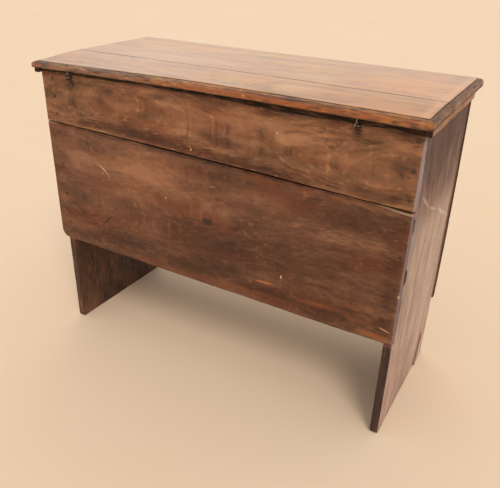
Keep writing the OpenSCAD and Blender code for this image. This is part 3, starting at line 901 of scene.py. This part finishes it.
def end_oak(side, start):
    """Rubbed and bleached along the outside, with duller wood near the top and scars of its own; the top is
    painted darker as a painted dark reflection and the foot paler as painted light.
    """
    if side == "left":
        heart, tones = (10, 120), ["#64433b", "#86635a", "#9b776f", "#b18f88"]
        marks = [
            # The top painted dark, a painted dark reflection; stains; and the foot painted pale, painted
            # light
            (770, 20, 270, 420, 0, "#3a1a08", 0.95, 0.68), (560, -120, 80, 60, 0, "#4a2e20", 0.6, 0.9),
            (540, 180, 100, 32, 0, "#463a42", 0.7, 0.9), (690, 186, 100, 14, 0, "#2b1e24", 0.6, 0.8),
            (300, -40, 130, 22, 2, "#9a7a66", 0.4, 0.9), (60, -70, 190, 110, 0, "#c8a090", 0.5, 1.2),
            # Scratches across the grain
            (592, 128, 6, 58, -34, "#bcb0b0", 0.5, 0.7), (548, 44, 5, 52, -22, "#c4b8b4", 0.45, 0.7),
            (500, -66, 7, 74, -28, "#cbbdb5", 0.5, 0.7), (462, -146, 5, 34, -33, "#c4b6b0", 0.45, 0.7),
            # The rear edge: a pale painted highlight along it, and painted shade in the gaps where splinters
            # are gone
            (680, 210, 130, 9, 0, "#bdb8c4", 0.9, 0.6), (500, 208, 90, 12, 0, "#83757a", 0.6, 0.7),
            (562, 196, 26, 7, 0, "#20140e", 0.85, 0.5), (438, 197, 28, 6, 0, "#20140e", 0.8, 0.5),
            # Two dark spots
            (470, 60, 9, 8, 0, "#3a261c", 0.8, 0.5), (395, -10, 10, 9, 0, "#3a261c", 0.7, 0.5),
            # The rear edge of the leg, painted dark: painted shade
            (110, 205, 150, 2.6, 0, "#6a473a", 0.75, 0.6), (120, 226, 210, 5, 0, "#46220f", 0.9, 0.5)]
    else:
        heart, tones = (10, -110), ["#4f2b1a", "#73462b", "#8a593b", "#a57353"]
        marks = [
            # The top painted dark and the foot painted pale, a painted dark reflection and painted light as
            # on the left; a pale streak and a dark spot
            (780, 0, 220, 400, 4, "#38190a", 0.85, 0.9), (430, 60, 150, 26, 3, "#9a7656", 0.4, 1.0),
            (90, 40, 120, 60, 0, "#b08866", 0.4, 1.1), (505, -90, 11, 9, 0, "#3a261c", 0.7, 0.5)]
    return aged_oak(
        f"Oak plank, {side} end, waxed and rubbed", (Z, Y, X), heart, tones, start, rings=8,
        patch=(330, 46, 46), contrast=0.9, figure=Figure(0.8, 0.5, 0.4, 0), red="#80503c", red_share=0.3,
        worn="#c09a84", worn_share=0.45, dirt_and_shade="#27130a", gloss=0.22, specular=0.5, bump=0.16, flecks=0.14,
        marks=marks, dull=[(770, 20, 250, 420)])


class MakeBack(bpy.types.Operator):
    """Make the two boards of the back, with the open joint between them"""

    bl_idname = "coffer.make_back"
    bl_label = "Back boards"

    def execute(self, context):
        boards = settings().boards
        seed = settings().seed + 300
        upper_lo, upper_hi = corners_of("back_upper_board")
        lower_lo, lower_hi = corners_of("back_lower_board")
        left, right = upper_lo[X], upper_hi[X]
        rise = (boards.back_low_right - lower_lo[Z]) / (right - left)
        # The gap is the same at both ends, so the upper board's lowest point gives the joint's left end
        gap = 3 * MM
        slope = (lower_hi[Z] - (upper_lo[Z] - gap)) / (right - left)

        def joint(x):
            return upper_lo[Z] + slope * (x - left)

        def upper_low(x):
            middle = 1 - ((x - 60 * MM) / (440 * MM)) ** 2
            return joint(x) + 0.5 * MM * wave(x, 160 * MM, seed + 1, 3) + 2.1 * MM * np.clip(middle, 0, 1)

        def lower_high(x):
            splinter = 4.5 * MM * fade(x, left + 5 * MM, left + 85 * MM)
            worn = 0.8 * MM * (1 + wave(x, 130 * MM, seed + 5, 3))
            return joint(x) - gap - splinter - worn + 1 * MM

        def lower_low(x):
            into = np.clip(x - (right - boards.corner), 0, boards.corner)
            corner = boards.corner - np.sqrt(boards.corner ** 2 - into ** 2)
            sag = 1.6 * MM * np.clip(1 - ((x + 120 * MM) / (380 * MM)) ** 2, 0, 1)
            uneven = 0.8 * MM * wave(x, 110 * MM, seed + 7, 3)
            return lower_lo[Z] + rise * (x - left) + corner + uneven - sag

        points, faces, marks = board(
            "back_upper_board", (X, Z, Y), 1, seed, edges={"low_v": upper_low},
            bend=lambda x, z: -0.6 * MM * smooth(z, 600 * MM, CASE_TOP))
        x, y, z = points.T
        soot_and_shade = (0.4 + 0.1 * fade(x, -300 * MM, 0)) * (0.9 + 0.3 * blots(x, z, 60 * MM, 20 * MM, seed + 9))
        # A black band at the top is the lid's painted shadow, 7 mm wider towards the left end, and below it
        # soot fades out with painted shade
        band = CASE_TOP - (11 + 7 * fade(x, -200 * MM, -60 * MM)) * MM
        lid_shade = smooth(z, band, band + 7 * MM)
        soot_and_shade = soot_and_shade * smooth(z, CASE_TOP - 37 * MM, CASE_TOP - 11 * MM)
        stain = (0.1 + 0.65 * fade(x, -400 * MM, 400 * MM)) * iron_stain_and_shade(
            points, nail_places("back_upper_nails", Y, 1))
        # Round each hinge the wood is darkened below and beside its loop: iron stain and the hinge's painted
        # shadow
        hinges = [[corners_of(f"hinge_lid_loop_{side}")[0][X] - away * MM, upper_hi[Y], height * MM]
                  for side in ("left", "right") for away, height in ((-2, 757), (1, 748))]
        add_dirt_and_shade(marks, lid_shade, soot_and_shade, stain, iron_stain_and_shade(points, hinges, 11.5 * MM))
        new_piece("back_upper_plank", points, faces, back_upper_oak(), "case",
                  ["back_upper_board"], marks)

        corner_lines = (right - left) - boards.corner * (1 - np.sin(np.linspace(0, np.pi / 2, 9)[:-1]))
        joint_lines = (lower_hi[Z] - lower_lo[Z]) - np.array([14, 11, 8.6, 6.6, 5, 3.7, 2.7, 1.9, 1.2]) * MM
        points, faces, marks = board(
            "back_lower_board", (X, Z, Y), 1, seed + 50, edges={"low_v": lower_low, "high_v": lower_high},
            splits=[Split(303 * MM, left - 30 * MM, left + 62 * MM, 1.6 * MM, 5 * MM, 1),
                    Split(505 * MM, right - 70 * MM, right + 30 * MM, 1.2 * MM, 4 * MM, 1)],
            extra_u=[corner_lines], extra_v=[joint_lines])
        x, y, z = points.T
        # At the left end the arris has broken away in a long splinter, down to pale wood
        below = joint(x) - gap - z
        fresh = fade(x, left + 56 * MM, left + 84 * MM)
        reach = (1.8 + 5.4 * fade(x, left + 8 * MM, left + 80 * MM)) * MM
        broken = fresh * fade(below, reach - 1.2 * MM, reach + 0.6 * MM) * (y > upper_lo[Y] + 6 * MM)
        hollow = 3.2 * MM * broken * fade(below, 2 * MM, reach + 1 * MM)
        points[:, Y] -= hollow * (y > upper_hi[Y] - 6 * MM)
        marks["raw"] = np.clip(np.where(below < 14 * MM, 0.25, 1) * marks["raw"] + 0.8 * broken, 0, 1)
        far = smooth(x, right - 60 * MM, right) * fade(below, 3 * MM, 7 * MM)
        marks["raw"] = np.clip(marks["raw"] + 0.45 * far, 0, 1)
        # Just below the joint the lower board is darker, most in its first 4 mm, but not at the splinter or
        # the far end
        darker_below_joint = (0.3 + 0.3 * (below < 4 * MM)) * fade(below, 3 * MM, 20 * MM)
        darker_below_joint = darker_below_joint * (1 - fresh) * (1 - far)
        above = z - lower_low(x)
        marks["wear"] = np.where((below < 14 * MM) | (above < 14 * MM), 0.3, 1) * marks["wear"]
        scuffed = 0.42 * fade(above, 0, 9 * MM) * (1 + 0.5 * blots(x, z, 60 * MM, 12 * MM, seed + 13))
        nails = np.concatenate([nail_places("back_lower_nails", Y, 1), nail_places("bottom_nails", Y, 1)])
        add_dirt_and_shade(marks, darker_below_joint, scuffed, 0.5 * iron_stain_and_shade(points, nails))
        new_piece("back_lower_plank", points, faces, back_lower_oak(), "case",
                  ["back_lower_board"], marks)
        return {"FINISHED"}


# What the two back boards have in common
DRY_BACK = dict(axes=(X, Z, Y), red_share=0.45, raw="#a98f74", specular=0.28, streak=4)


def back_upper_oak():
    """Never polished: dry and brown, with wild grain round a knot, dark stains and pale dents."""
    marks = [
        # Dark stains
        (190, 645, 260, 26, 2, "#391d13", 0.85, 0.9), (-110, 626, 250, 30, 2, "#3a1c11", 0.8, 0.9),
        (-60, 668, 150, 34, 2, "#43231a", 0.65, 1.0), (-480, 690, 40, 60, 0, "#40241a", 0.4, 1.0),
        (395, 735, 70, 12, 0, "#402719", 0.35, 0.9), (475, 744, 60, 20, 0, "#40241a", 0.55, 1.0),
        (110, 748, 70, 14, 0, "#44271b", 0.5, 1.0), (-130, 694, 70, 14, 0, "#4a281c", 0.5, 1.0),
        (350, 648, 80, 20, 2, "#3c1f14", 0.7, 0.9), (-420, 624, 110, 24, 1, "#452618", 0.55, 1.0),
        # Paler patches
        (345, 730, 90, 22, 0, "#ae7a54", 0.32, 1.0), (-135, 730, 120, 26, 1, "#b98460", 0.4, 1.0),
        # Dents
        (-316, 706, 15, 4, 40, "#ab7f5d", 0.4, 0.9), (-342, 704, 12, 4, -50, "#ab7f5d", 0.35, 0.9),
        (29, 636, 4, 2, 70, "#e0b488", 0.9, 0.5), (-200, 715, 5, 3, 60, "#c79b74", 0.7, 0.5),
        # Scars by the nails
        (-482, 676, 10, 2.2, 28, "#26160d", 0.6, 0.9), (-490, 692, 11, 2.2, -12, "#26160d", 0.6, 0.9),
        (-498, 674, 8, 2.0, 20, "#26160d", 0.6, 0.9), (-492, 745, 10, 2.2, 15, "#26160d", 0.6, 0.9)]
    return aged_oak(
        "Oak, scraped and dry, upper back", heart=(700, 60),
        tones=["#523320", "#745037", "#8c5f43", "#aa7b59"], start=3.1, rings=9, patch=(120, 44, 44),
        contrast=1.02, figure=Figure(0.9, 0.4, 0.55, 0.08), red="#743c24", worn="#bb8359", worn_share=0.3,
        # The end grain's pale lavender grey is a painted reflection of the sky
        end_tone_and_sheen="#958c92", end_share=0.85, gloss=0.58, bump=0.5, flecks=0.48, beads=0.38, specks=0.65,
        knots=[(-330, 707, 4, "#7b5339")], marks=marks, **DRY_BACK)


def back_lower_oak():
    """The same wood, darker towards the floor, where boots and brooms have rubbed its edge red."""
    marks = [
        # Dark stains
        (-95, 420, 110, 24, -24, "#3f271c", 0.55, 1.0), (-310, 420, 280, 130, 0, "#3c2013", 0.7, 1.2),
        (0, 350, 700, 150, 0, "#361e12", 0.32, 1.2), (-20, 570, 70, 40, 0, "#4a2b1e", 0.45, 1.0),
        (60, 440, 120, 30, 2, "#3a2118", 0.5, 1.0), (-390, 545, 190, 62, 0, "#3a2016", 0.8, 1.1),
        (-492, 430, 46, 220, 0, "#34190c", 0.6, 1.1), (-40, 400, 210, 74, -3, "#3a2118", 0.72, 1.1),
        (350, 490, 90, 50, 0, "#3f2518", 0.4, 1.1), (30, 312, 230, 40, 0, "#38200f", 0.7, 1.0),
        (250, 325, 170, 50, 0, "#36201a", 0.75, 1.0), (410, 305, 110, 34, 0, "#36200f", 0.6, 1.0),
        (-190, 310, 150, 28, -1, "#321a10", 0.7, 1.0), (-490, 320, 50, 40, 0, "#321608", 0.6, 1.0),
        (-330, 310, 200, 40, 0, "#43240f", 0.5, 1.0),
        # Paler patches
        (190, 545, 220, 80, 3, "#b57f5d", 0.62, 1.1), (330, 500, 150, 70, 0, "#8d5f43", 0.35, 1.1),
        (430, 590, 60, 30, -10, "#8c6044", 0.4, 0.9),
        # Scratches and dents
        (318, 378, 27, 2.2, -42, "#1c0f09", 0.95, 0.4), (318, 527, 26, 2.4, 37, "#d6ae86", 0.8, 0.5),
        (303, 509, 13, 2.4, 62, "#c9a17a", 0.6, 0.7), (322, 516, 9, 3, 10, "#c9a17a", 0.5, 0.8),
        (367, 585, 30, 1.8, 82, "#2a1810", 0.7, 0.5), (480, 504, 40, 2.5, 3, "#24140c", 0.8, 0.5),
        (111, 492, 7, 2.6, -35, "#d0aa84", 0.6, 0.6), (-31, 553, 13, 2.2, -8, "#b98a60", 0.5, 0.9),
        (-229, 363, 3, 6, 0, "#d8b694", 0.75, 0.5),
        # The rubbed lower edge
        (-185, 334, 36, 4, -3, "#c0704a", 0.75, 0.6), (-330, 318, 90, 10, -4, "#8a4a2c", 0.6, 0.8),
        (-120, 296, 260, 10, -1, "#80472b", 0.4, 0.9), (-470, 284, 60, 9, 0, "#a05a30", 0.6, 0.9),
        (-496, 306, 20, 2.2, 16, "#c9946a", 0.8, 0.5), (-420, 330, 90, 8, -6, "#2c1a11", 0.5, 0.9)]
    return aged_oak(
        "Oak, scraped and dry, lower back", heart=(430, -70),
        tones=["#462c1f", "#674431", "#7c533c", "#966c50"], start=17.4, rings=10, patch=(170, 60, 60),
        contrast=0.9, figure=Figure(0.8, 0.4, 0.5, 0.09), red="#71391f", worn="#ab7450", worn_share=0.4,
        # The end grain's pale lavender grey is a painted reflection of the sky
        end_tone_and_sheen="#7e7176", end_share=0.8, gloss=0.56, bump=0.4, flecks=0.34, specks=0.45,
        knots=[(-16, 456, 11, "#3a2a24")], marks=marks, **DRY_BACK)


class MakeFront(bpy.types.Operator):
    """Make the front board"""

    bl_idname = "coffer.make_front"
    bl_label = "Front board"

    def execute(self, context):
        seed = settings().seed + 400
        lo, hi = corners_of("front_board")

        def low_edge(x):
            return lo[Z] + 0.8 * MM * wave(x, 150 * MM, seed + 1, 3)

        points, faces, marks = board(
            "front_board", (X, Z, Y), -1, seed, step=4.4 * MM,
            edges={"low_v": low_edge, "low_u": lambda z: lo[X] - end_bow(hi[Y], z)},
            splits=[Split(330 * MM, hi[X] - 240 * MM, hi[X] + 30 * MM, 1.6 * MM, 5 * MM, 1)],
            bend=lambda x, z: 1.2 * MM * np.sin(np.pi * (z - lo[Z]) / (hi[Z] - lo[Z])))
        # Painted shade under the lid's front edge, rising to half strength near the case's top
        lid_shade = 0.5 * smooth(points[:, Z], CASE_TOP - 30 * MM, CASE_TOP - 3 * MM)
        nails = np.concatenate([nail_places("front_nails", Y, -1), nail_places("bottom_nails", Y, -1)])
        add_dirt_and_shade(marks, lid_shade, 0.5 * iron_stain_and_shade(points, nails), 0.95 * marks["end"])
        new_piece("front_plank", points, faces, front_oak(), "case", ["front_board"], marks)
        return {"FINISHED"}


def front_oak():
    """The face that was kept waxed: an even warm brown with a low gloss, darkened round its small knots."""
    return aged_oak(
        "Oak, waxed, front board", (X, Z, Y), (520, 90), ["#54321f", "#74492f", "#8a5a3b", "#a3724d"], 41.2,
        rings=10, patch=(220, 60, 60), contrast=0.95, figure=Figure(0.7, 0.6, 0.5, 0.1), red="#7a4127",
        worn="#b48058", worn_share=0.5, gloss=0.4, specular=0.4, bump=0.3,
        knots=[(210, 560, 8, "#4a3023"), (-340, 330, 6, "#503528")])


class MakeBottom(bpy.types.Operator):
    """Make the bottom board, tongued into the ends"""

    bl_idname = "coffer.make_bottom"
    bl_label = "Bottom board"

    def execute(self, context):
        points, faces, marks = board(
            "bottom_board", (X, Y, Z), 1, settings().seed + 500, arris=0.8 * MM, step=7 * MM)
        new_piece("bottom_plank", points, faces, inside_oak("bottom board", (X, Y, Z), 53.0), "case",
                  ["bottom_board"], marks)
        return {"FINISHED"}


def inside_oak(use, axes, start):
    """Unfinished wood that light hardly reaches: dry, greyish brown, without gloss."""
    return aged_oak(
        f"Oak, unfinished, {use}", axes, (0, 150), ["#5c4432", "#7a5c45", "#907056", "#a6866a"], start,
        rings=9, patch=(200, 60, 60), contrast=0.8, red="#7c5840", red_share=0.2, worn="#b0947a",
        worn_share=0.3, gloss=0.72, specular=0.2, bump=0.5)


class MakeLid(bpy.types.Operator):
    """Make the two lid boards, with the thumbnail moulding round three sides of each"""

    bl_idname = "coffer.make_lid"
    bl_label = "Lid boards"

    def execute(self, context):
        lid = settings().lid
        front_lo, front_hi = corners_of("lid_front_board")
        rear_lo, rear_hi = corners_of("lid_rear_board")
        left, right = front_lo[X], front_hi[X]
        # The joint runs aslant, so the two boards' boxes overlap by its rise
        slope = (rear_lo[Y] - front_hi[Y]) / (right - left)

        def joint(x):
            return front_hi[Y] + slope * (x - left)

        for name, lo, hi, plain_side, away, seed in (
                ("lid_rear", rear_lo, rear_hi, "low_v", 1, settings().seed + 600),
                ("lid_front", front_lo, front_hi, "high_v", -1, settings().seed + 700)):

            def joint_edge(x):
                opened = 1 + 0.75 * smooth(x, -60 * MM, 100 * MM)
                half_gap = lid.joint_gap / 2 * opened * (1 + 0.5 * wave(x, 90 * MM, seed))
                return joint(x) + away * half_gap

            points, faces, marks = board(
                f"{name}_board", (X, Y, Z), 1, seed, moulded_rim(hi[Z] - lo[Z], lid, plain_side),
                edges={plain_side: joint_edge}, bend=lid_lift, relief=0.22)
            x, y, z = points.T
            if name == "lid_rear":
                # The rear edge hangs: the top all along, the underside only where it is past the case
                run = 2 * (x - left) / (right - left) - 1
                up = np.clip((z - lid_lift(x, y) - lo[Z]) / (hi[Z] - lo[Z]), 0, 1)
                past = smooth(y, hi[Y] - 12 * MM, hi[Y] - 8 * MM)
                droop = lid.rear_droop * (up + 0.5 * (1 - up) * past * run ** 2)
                droop = droop + lid.end_droop * up * smooth(run, 0, 0.8)
                points[:, Z] -= droop * smooth(y, lo[Y] + 20 * MM, hi[Y] - 12 * MM)
            from_joint = np.abs(y - joint(x))
            clear = smooth(from_joint, 1 * MM, 7 * MM)
            marks["wear"] = marks["wear"] * clear
            marks["raw"] = marks["raw"] * clear * (0.35 + 0.4 * fade(x, -250 * MM, 0))
            from_end = np.minimum(x - left, right - x)
            outwards = np.minimum(from_end, hi[Y] - y if name == "lid_rear" else y - lo[Y])
            at_end = from_end < lid.nose
            # The rear moulding is cleanest in the middle and dark towards its right end
            darkening = np.interp(x, [-0.3, -0.18, 0.02, 0.16], [0.32, 0.1, 0.1, 0.56])
            uneven = 0.42 - 0.2 * smooth(x, 50 * MM, 200 * MM)
            streaks = uneven * blots(x + y, z, 20 * MM, 2.4 * MM, seed + 71, 3)
            streaks = np.clip(np.where(at_end, 0.08, darkening) + streaks, 0, 1)
            marks["grime"] = marks["grime"] + streaks * (outwards < lid.nose) * (1 - marks["grime"])
            # Low on the moulding's ends, under the nose, a dark band is painted: painted shade
            low_end_shade = 0.9 * at_end * fade(z - lid_lift(x, y) - lo[Z], 2 * MM, 6.5 * MM)
            low_end_shade = low_end_shade * (1 + 0.7 * blots(x + y, z, 14 * MM, 3 * MM, seed + 75))
            add_dirt_and_shade(marks, low_end_shade, 0.95 * (from_joint < 1.6 * MM))
            # Small chips have left pale wood on the moulding
            chips = smooth(blots(x + y, z, 11 * MM, 4 * MM, seed + 73), 0.5, 1.1) * (outwards < 8 * MM)
            marks["raw"] = np.clip(marks["raw"] + 0.6 * chips * (1 - darkening), 0, 1)
            new_piece(f"{name}_plank", points, faces, lid_oak(name), "lid",
                      [f"{name}_board"], marks)
        return {"FINISHED"}


# What the two lid boards have in common
WAXED_LID = dict(
    axes=(X, Y, Z), contrast=0.95, red_share=0.3, worn="#9c5322", worn_share=0.75, raw="#e0ac78",
    end_tone_and_sheen="#5e2f13", end_share=0.85, specular=0.6, beads=0.1)


def lid_oak(name):
    """Polished by use: warm brown under a thin gloss of old wax, dull and pitted along the back."""
    if name == "lid_rear":
        marks = [
            (-60, 196, 130, 16, 0, "#5a3a28", 0.4, 1.0), (60, 200, 420, 18, 0, "#857a60", 0.3, 0.9),
            # The second mark below, the pale pinkish patch towards the right end, is a painted reflection
            (-200, 240, 420, 11, 0, "#7a3512", 0.7, 0.8), (260, 150, 480, 240, 0, "#cda58c", 0.6, 1.2),
            (-190, 150, 130, 60, 0, "#e0ab72", 0.5, 1.1), (-430, 180, 110, 120, 0, "#c47820", 0.7, 1.2),
            (-506, 60, 13, 330, 0, "#d58f58", 0.6, 0.7), (380, 150, 160, 30, 0, "#8d6f5a", 0.4, 1.0),
            (-440, 150, 90, 40, 0, "#8a6430", 0.35, 1.0)]
        return aged_oak(
            "Oak, wax polished, rear lid board", heart=(150, -90),
            tones=["#7c4820", "#a9692c", "#c2823a", "#d0954c"], start=61.5, rings=8, patch=(260, 40, 40),
            red="#a05a2e", gloss=0.12, bump=0.07, flecks=0.16, marks=marks,
            pits=[(-90, 188, 150, 24), (330, 190, 60, 10)], **WAXED_LID)
    marks = [
        # The first mark, the pale pinkish patch towards the right end, is a painted reflection
        (260, 60, 480, 260, 0, "#cda58c", 0.5, 1.2), (-190, 30, 130, 120, 0, "#e0ab72", 0.4, 1.2),
        (-400, -60, 190, 220, 0, "#cc7a1c", 0.8, 1.2), (-490, -180, 40, 50, 0, "#8c5216", 0.5, 1.0),
        (-506, 60, 13, 330, 0, "#d58f58", 0.6, 0.7), (-300, -200, 70, 40, 0, "#8a5426", 0.4, 1.0),
        (-380, -60, 120, 60, 0, "#c8914e", 0.3, 1.0), (-60, -150, 200, 50, 0, "#a5713f", 0.3, 1.0),
        (200, -20, 60, 6, 2, "#5a3822", 0.4, 0.9)]
    return aged_oak(
        "Oak, wax polished, front lid board", heart=(-60, -110),
        tones=["#824c20", "#ae6d2c", "#c6853a", "#d4994c"], start=73.9, rings=9, patch=(300, 50, 50),
        red="#a86030", gloss=0.1, bump=0.06, flecks=0.14, marks=marks, **WAXED_LID)


class MakeCleats(bpy.types.Operator):
    """Make the cleats under the lid's ends"""

    bl_idname = "coffer.make_cleats"
    bl_label = "Lid cleats"

    def execute(self, context):
        # The right cleat is painted dark all over, painted shade under the lid's end; the left one is not
        for side, outward, darkening, start in (("left", -1, 0.0, 83.0), ("right", 1, 0.9, 89.0)):
            node = f"lid_cleat_{side}"
            lo, hi = corners_of(node)
            middle = (lo[X] + hi[X]) / 2
            points, faces, marks = board(
                node, (Y, Z, X), outward, settings().seed + 800, arris=1.8 * MM, step=3 * MM, relief=0,
                edges={"low_v": lambda y: lo[Z] + lid_lift(middle, y),
                       "high_v": lambda y: hi[Z] + lid_lift(middle, y)})
            add_dirt_and_shade(marks, 0.9 * marks["end"], darkening)
            new_piece(f"{node}_strip", points, faces, cleat_oak(side, start), "lid",
                      [node], marks)
        return {"FINISHED"}


def cleat_oak(side, start):
    """Split from the same log and rubbed by hands that lift the lid: orange brown, its sawn ends black."""
    return aged_oak(
        f"Oak, waxed, {side} cleat", (Y, Z, X), (760, 60), ["#5e3519", "#84502c", "#9c6538", "#b07c4c"],
        start, rings=6, patch=(90, 30, 30), worn="#c08850", end_tone_and_sheen="#3a2115", gloss=0.42, specular=0.4)


class MakeHinges(bpy.types.Operator):
    """Make the four wire loops of the two hinges"""

    bl_idname = "coffer.make_hinges"
    bl_label = "Wire hinges"

    def execute(self, context):
        iron = settings().iron
        half_gap = 0.45 * iron.wire
        material = forged_iron("Wrought iron wire, hand forged", "#8c7a66", "#2b1d14", 5.0, 0.9, 0.85)
        inside = HINGE_AXIS.y - corners_of("back_upper_board")[1][Y]
        for side, seed in (("left", 5), ("right", 9)):
            for body in ("case", "lid"):
                node = f"hinge_{body}_loop_{side}"
                lo, hi = corners_of(node)
                x = (lo[X] + hi[X]) / 2
                if body == "case":
                    # Lies flat, its outer bow on the hinge's axis and its legs clinched inside the back
                    reach = inside - iron.eye + settings().boards.back_t + iron.wire / 2
                    p, q = staple_path(iron.eye, half_gap, reach, iron.clinch)
                    path = np.stack([x + p, HINGE_AXIS.y - iron.eye + q, np.full(len(p), HINGE_AXIS.z)], -1)
                    flat = (0.0, 0.0, 1.0)
                else:
                    # Stands upright round the axis, its shank sloping up and forward into the lid
                    p, q = staple_path(iron.eye, half_gap, iron.eye + inside + iron.shank)
                    run, rise = math.cos(iron.slope), math.sin(iron.slope)
                    path = np.stack([
                        np.full(len(p), x), HINGE_AXIS.y + q * run + p * rise,
                        HINGE_AXIS.z - q * rise + p * run], -1)
                    flat = (1.0, 0.0, 0.0)
                points, faces = tube(path, flat, forged_radius(path, iron.wire / 2, seed + len(body)))
                new_piece(f"{node}_wire", points, faces, material, body, [node])
        return {"FINISHED"}


class MakeNails(bpy.types.Operator):
    """Make the hammered nails of every board"""

    bl_idname = "coffer.make_nails"
    bl_label = "Nails"

    def execute(self, context):
        iron = settings().iron
        material = forged_iron("Wrought iron nails, hammered heads", "#33261f", "#5c3e2c", 8.0, 0.25)
        seed = settings().seed + 900
        groups = [("back_upper_nails", "case", [(Y, 1)]), ("back_lower_nails", "case", [(Y, 1)]),
                  ("front_nails", "case", [(Y, -1)]), ("bottom_nails", "case", [(Y, 1), (Y, -1)]),
                  ("cleat_nails_left", "lid", [(Z, -1)]), ("cleat_nails_right", "lid", [(Z, -1)])]
        for number, (node, body, faces_of) in enumerate(groups):
            lo, hi = corners_of(node)
            depth = (hi[Z] - lo[Z] - iron.crown if body == "lid" else iron.nail) - 2 * MM
            all_points, all_faces, count = [], [[], [], []], 0
            for axis, sign in faces_of:
                outward = np.zeros(3)
                outward[axis] = sign
                points, faces = nail_group(nail_places(node, axis, sign), outward, iron, depth, seed + number)
                for kept, part in zip(all_faces, faces):
                    kept.append(part + count)
                all_points.append(points)
                count += len(points)
            new_piece(f"{node}_heads", np.concatenate(all_points), [np.concatenate(f) for f in all_faces],
                      material, body, [node])
        return {"FINISHED"}


class FinishPegs(bpy.types.Operator):
    """Give the pegs inside the lid's joint their wood"""

    bl_idname = "coffer.finish_pegs"
    bl_label = "Joint pegs"

    def execute(self, context):
        for slot in frame["nodes"]["lid_joint_pegs"].material_slots:
            slot.material = inside_oak("riven pegs", (Y, X, Z), 97.0)
        return {"FINISHED"}


class MakeStage(bpy.types.Operator):
    """Make the floor, the lamps and the camera"""

    bl_idname = "coffer.make_stage"
    bl_label = "Stage"

    def execute(self, context):
        stage = settings().stage
        scene = context.scene
        sides, radius = 96, 60
        turn = np.arange(sides) * 2 * np.pi / sides
        rim = radius * np.stack([np.cos(turn), np.sin(turn), 0 * turn], -1)
        floor_mesh = bpy.data.meshes.new("floor")
        floor_mesh.from_pydata(rim.tolist(), [], [tuple(range(len(rim)))])
        floor_mesh.materials.append(painted_floor("Floor paint, matt and rolled", tuple(stage.floor_colour)))
        floor = bpy.data.objects.new("floor", floor_mesh)
        scene.collection.objects.link(floor)

        # Two broad lamps that light the whole floor evenly: the way to each, its strength and its colour
        lamps = [("key", Vector((-0.48, 0.50, 0.72)), stage.key, "#fff4e6"),
                 ("back", Vector((0.35, -0.55, 0.76)), stage.back, "#fffaf4")]
        for name, towards, energy, tone in lamps:
            lamp = bpy.data.lights.new(name, "SUN")
            lamp.angle = stage.spread
            lamp.energy = energy
            lamp.color = linear(tone)
            holder = bpy.data.objects.new(name, lamp)
            holder.rotation_euler = towards.to_track_quat("Z", "Y").to_euler()
            scene.collection.objects.link(holder)
        self.make_world(scene, stage)

        heading, pitch = stage.heading, stage.pitch
        forward = Vector((math.sin(heading) * math.cos(pitch), -math.cos(heading) * math.cos(pitch),
                          -math.sin(pitch)))
        level = Vector((-math.cos(heading), -math.sin(heading), 0))
        upright = level.cross(forward)
        right = level * math.cos(stage.roll) + upright * math.sin(stage.roll)
        up = upright * math.cos(stage.roll) - level * math.sin(stage.roll)
        lens = bpy.data.cameras.new("camera")
        lens.lens = stage.lens
        lens.sensor_width = 36
        lens.clip_start, lens.clip_end = 0.05, 100
        camera = bpy.data.objects.new("camera", lens)
        axes = Matrix((right, up, -forward)).transposed().to_4x4()
        camera.matrix_world = Matrix.Translation(stage.camera_at) @ axes
        scene.collection.objects.link(camera)
        scene.camera = camera
        scene.view_settings.view_transform = "Standard"
        return {"FINISHED"}

    def make_world(self, scene, stage):
        """Even sky: a plain level for what it lights, a warm near-white where the camera or gloss sees it."""
        world = bpy.data.worlds.new("sky")
        world.use_nodes = True
        scene.world = world
        tree = world.node_tree
        tree.nodes.clear()
        rays = add(tree, "LightPath").node.outputs
        seen = add(tree, "Math", {0: rays["Is Camera Ray"], 1: rays["Is Glossy Ray"]}, operation="MAXIMUM")
        seen = add(tree, "Math", {0: seen, 1: rays["Is Transmission Ray"]}, operation="MAXIMUM")
        lit = add(tree, "Background", {"Color": "#fffaf4", "Strength": stage.sky})
        shown = add(tree, "Background", {"Color": "#fff6ea", "Strength": 1.0})
        mixed = add(tree, "MixShader", {0: seen, 1: lit, 2: shown})
        add(tree, "OutputWorld", {"Surface": mixed})


class CofferPanel(bpy.types.Panel):
    """Sidebar panel with the coffer's settings and its operators"""

    bl_idname = "VIEW3D_PT_coffer"
    bl_label = "Six-plank coffer"
    bl_space_type = "VIEW_3D"
    bl_region_type = "UI"
    bl_category = "Coffer"

    def draw(self, context):
        for maker in MAKERS:
            self.layout.operator(maker.bl_idname)
        for group in ("boards", "lid", "iron", "stage"):
            box = self.layout.box()
            values = getattr(context.scene.coffer, group)
            for name in values.__annotations__:
                box.prop(values, name)
        self.layout.prop(context.scene.coffer, "seed")


MAKERS = (MakeEnds, MakeBack, MakeFront, MakeBottom, MakeLid, MakeCleats, MakeHinges, MakeNails, FinishPegs,
          MakeStage)
CLASSES = (BoardSettings, LidSettings, IronSettings, StageSettings, CofferSettings, *MAKERS, CofferPanel)


def register():
    for kind in CLASSES:
        bpy.utils.register_class(kind)
    bpy.types.Scene.coffer = PointerProperty(type=CofferSettings)


def unregister():
    del bpy.types.Scene.coffer
    for kind in reversed(CLASSES):
        bpy.utils.unregister_class(kind)


def main():
    register()
    for maker in MAKERS:
        group, action = maker.bl_idname.split(".")
        getattr(getattr(bpy.ops, group), action)()


if __name__ == "__main__":
    main()
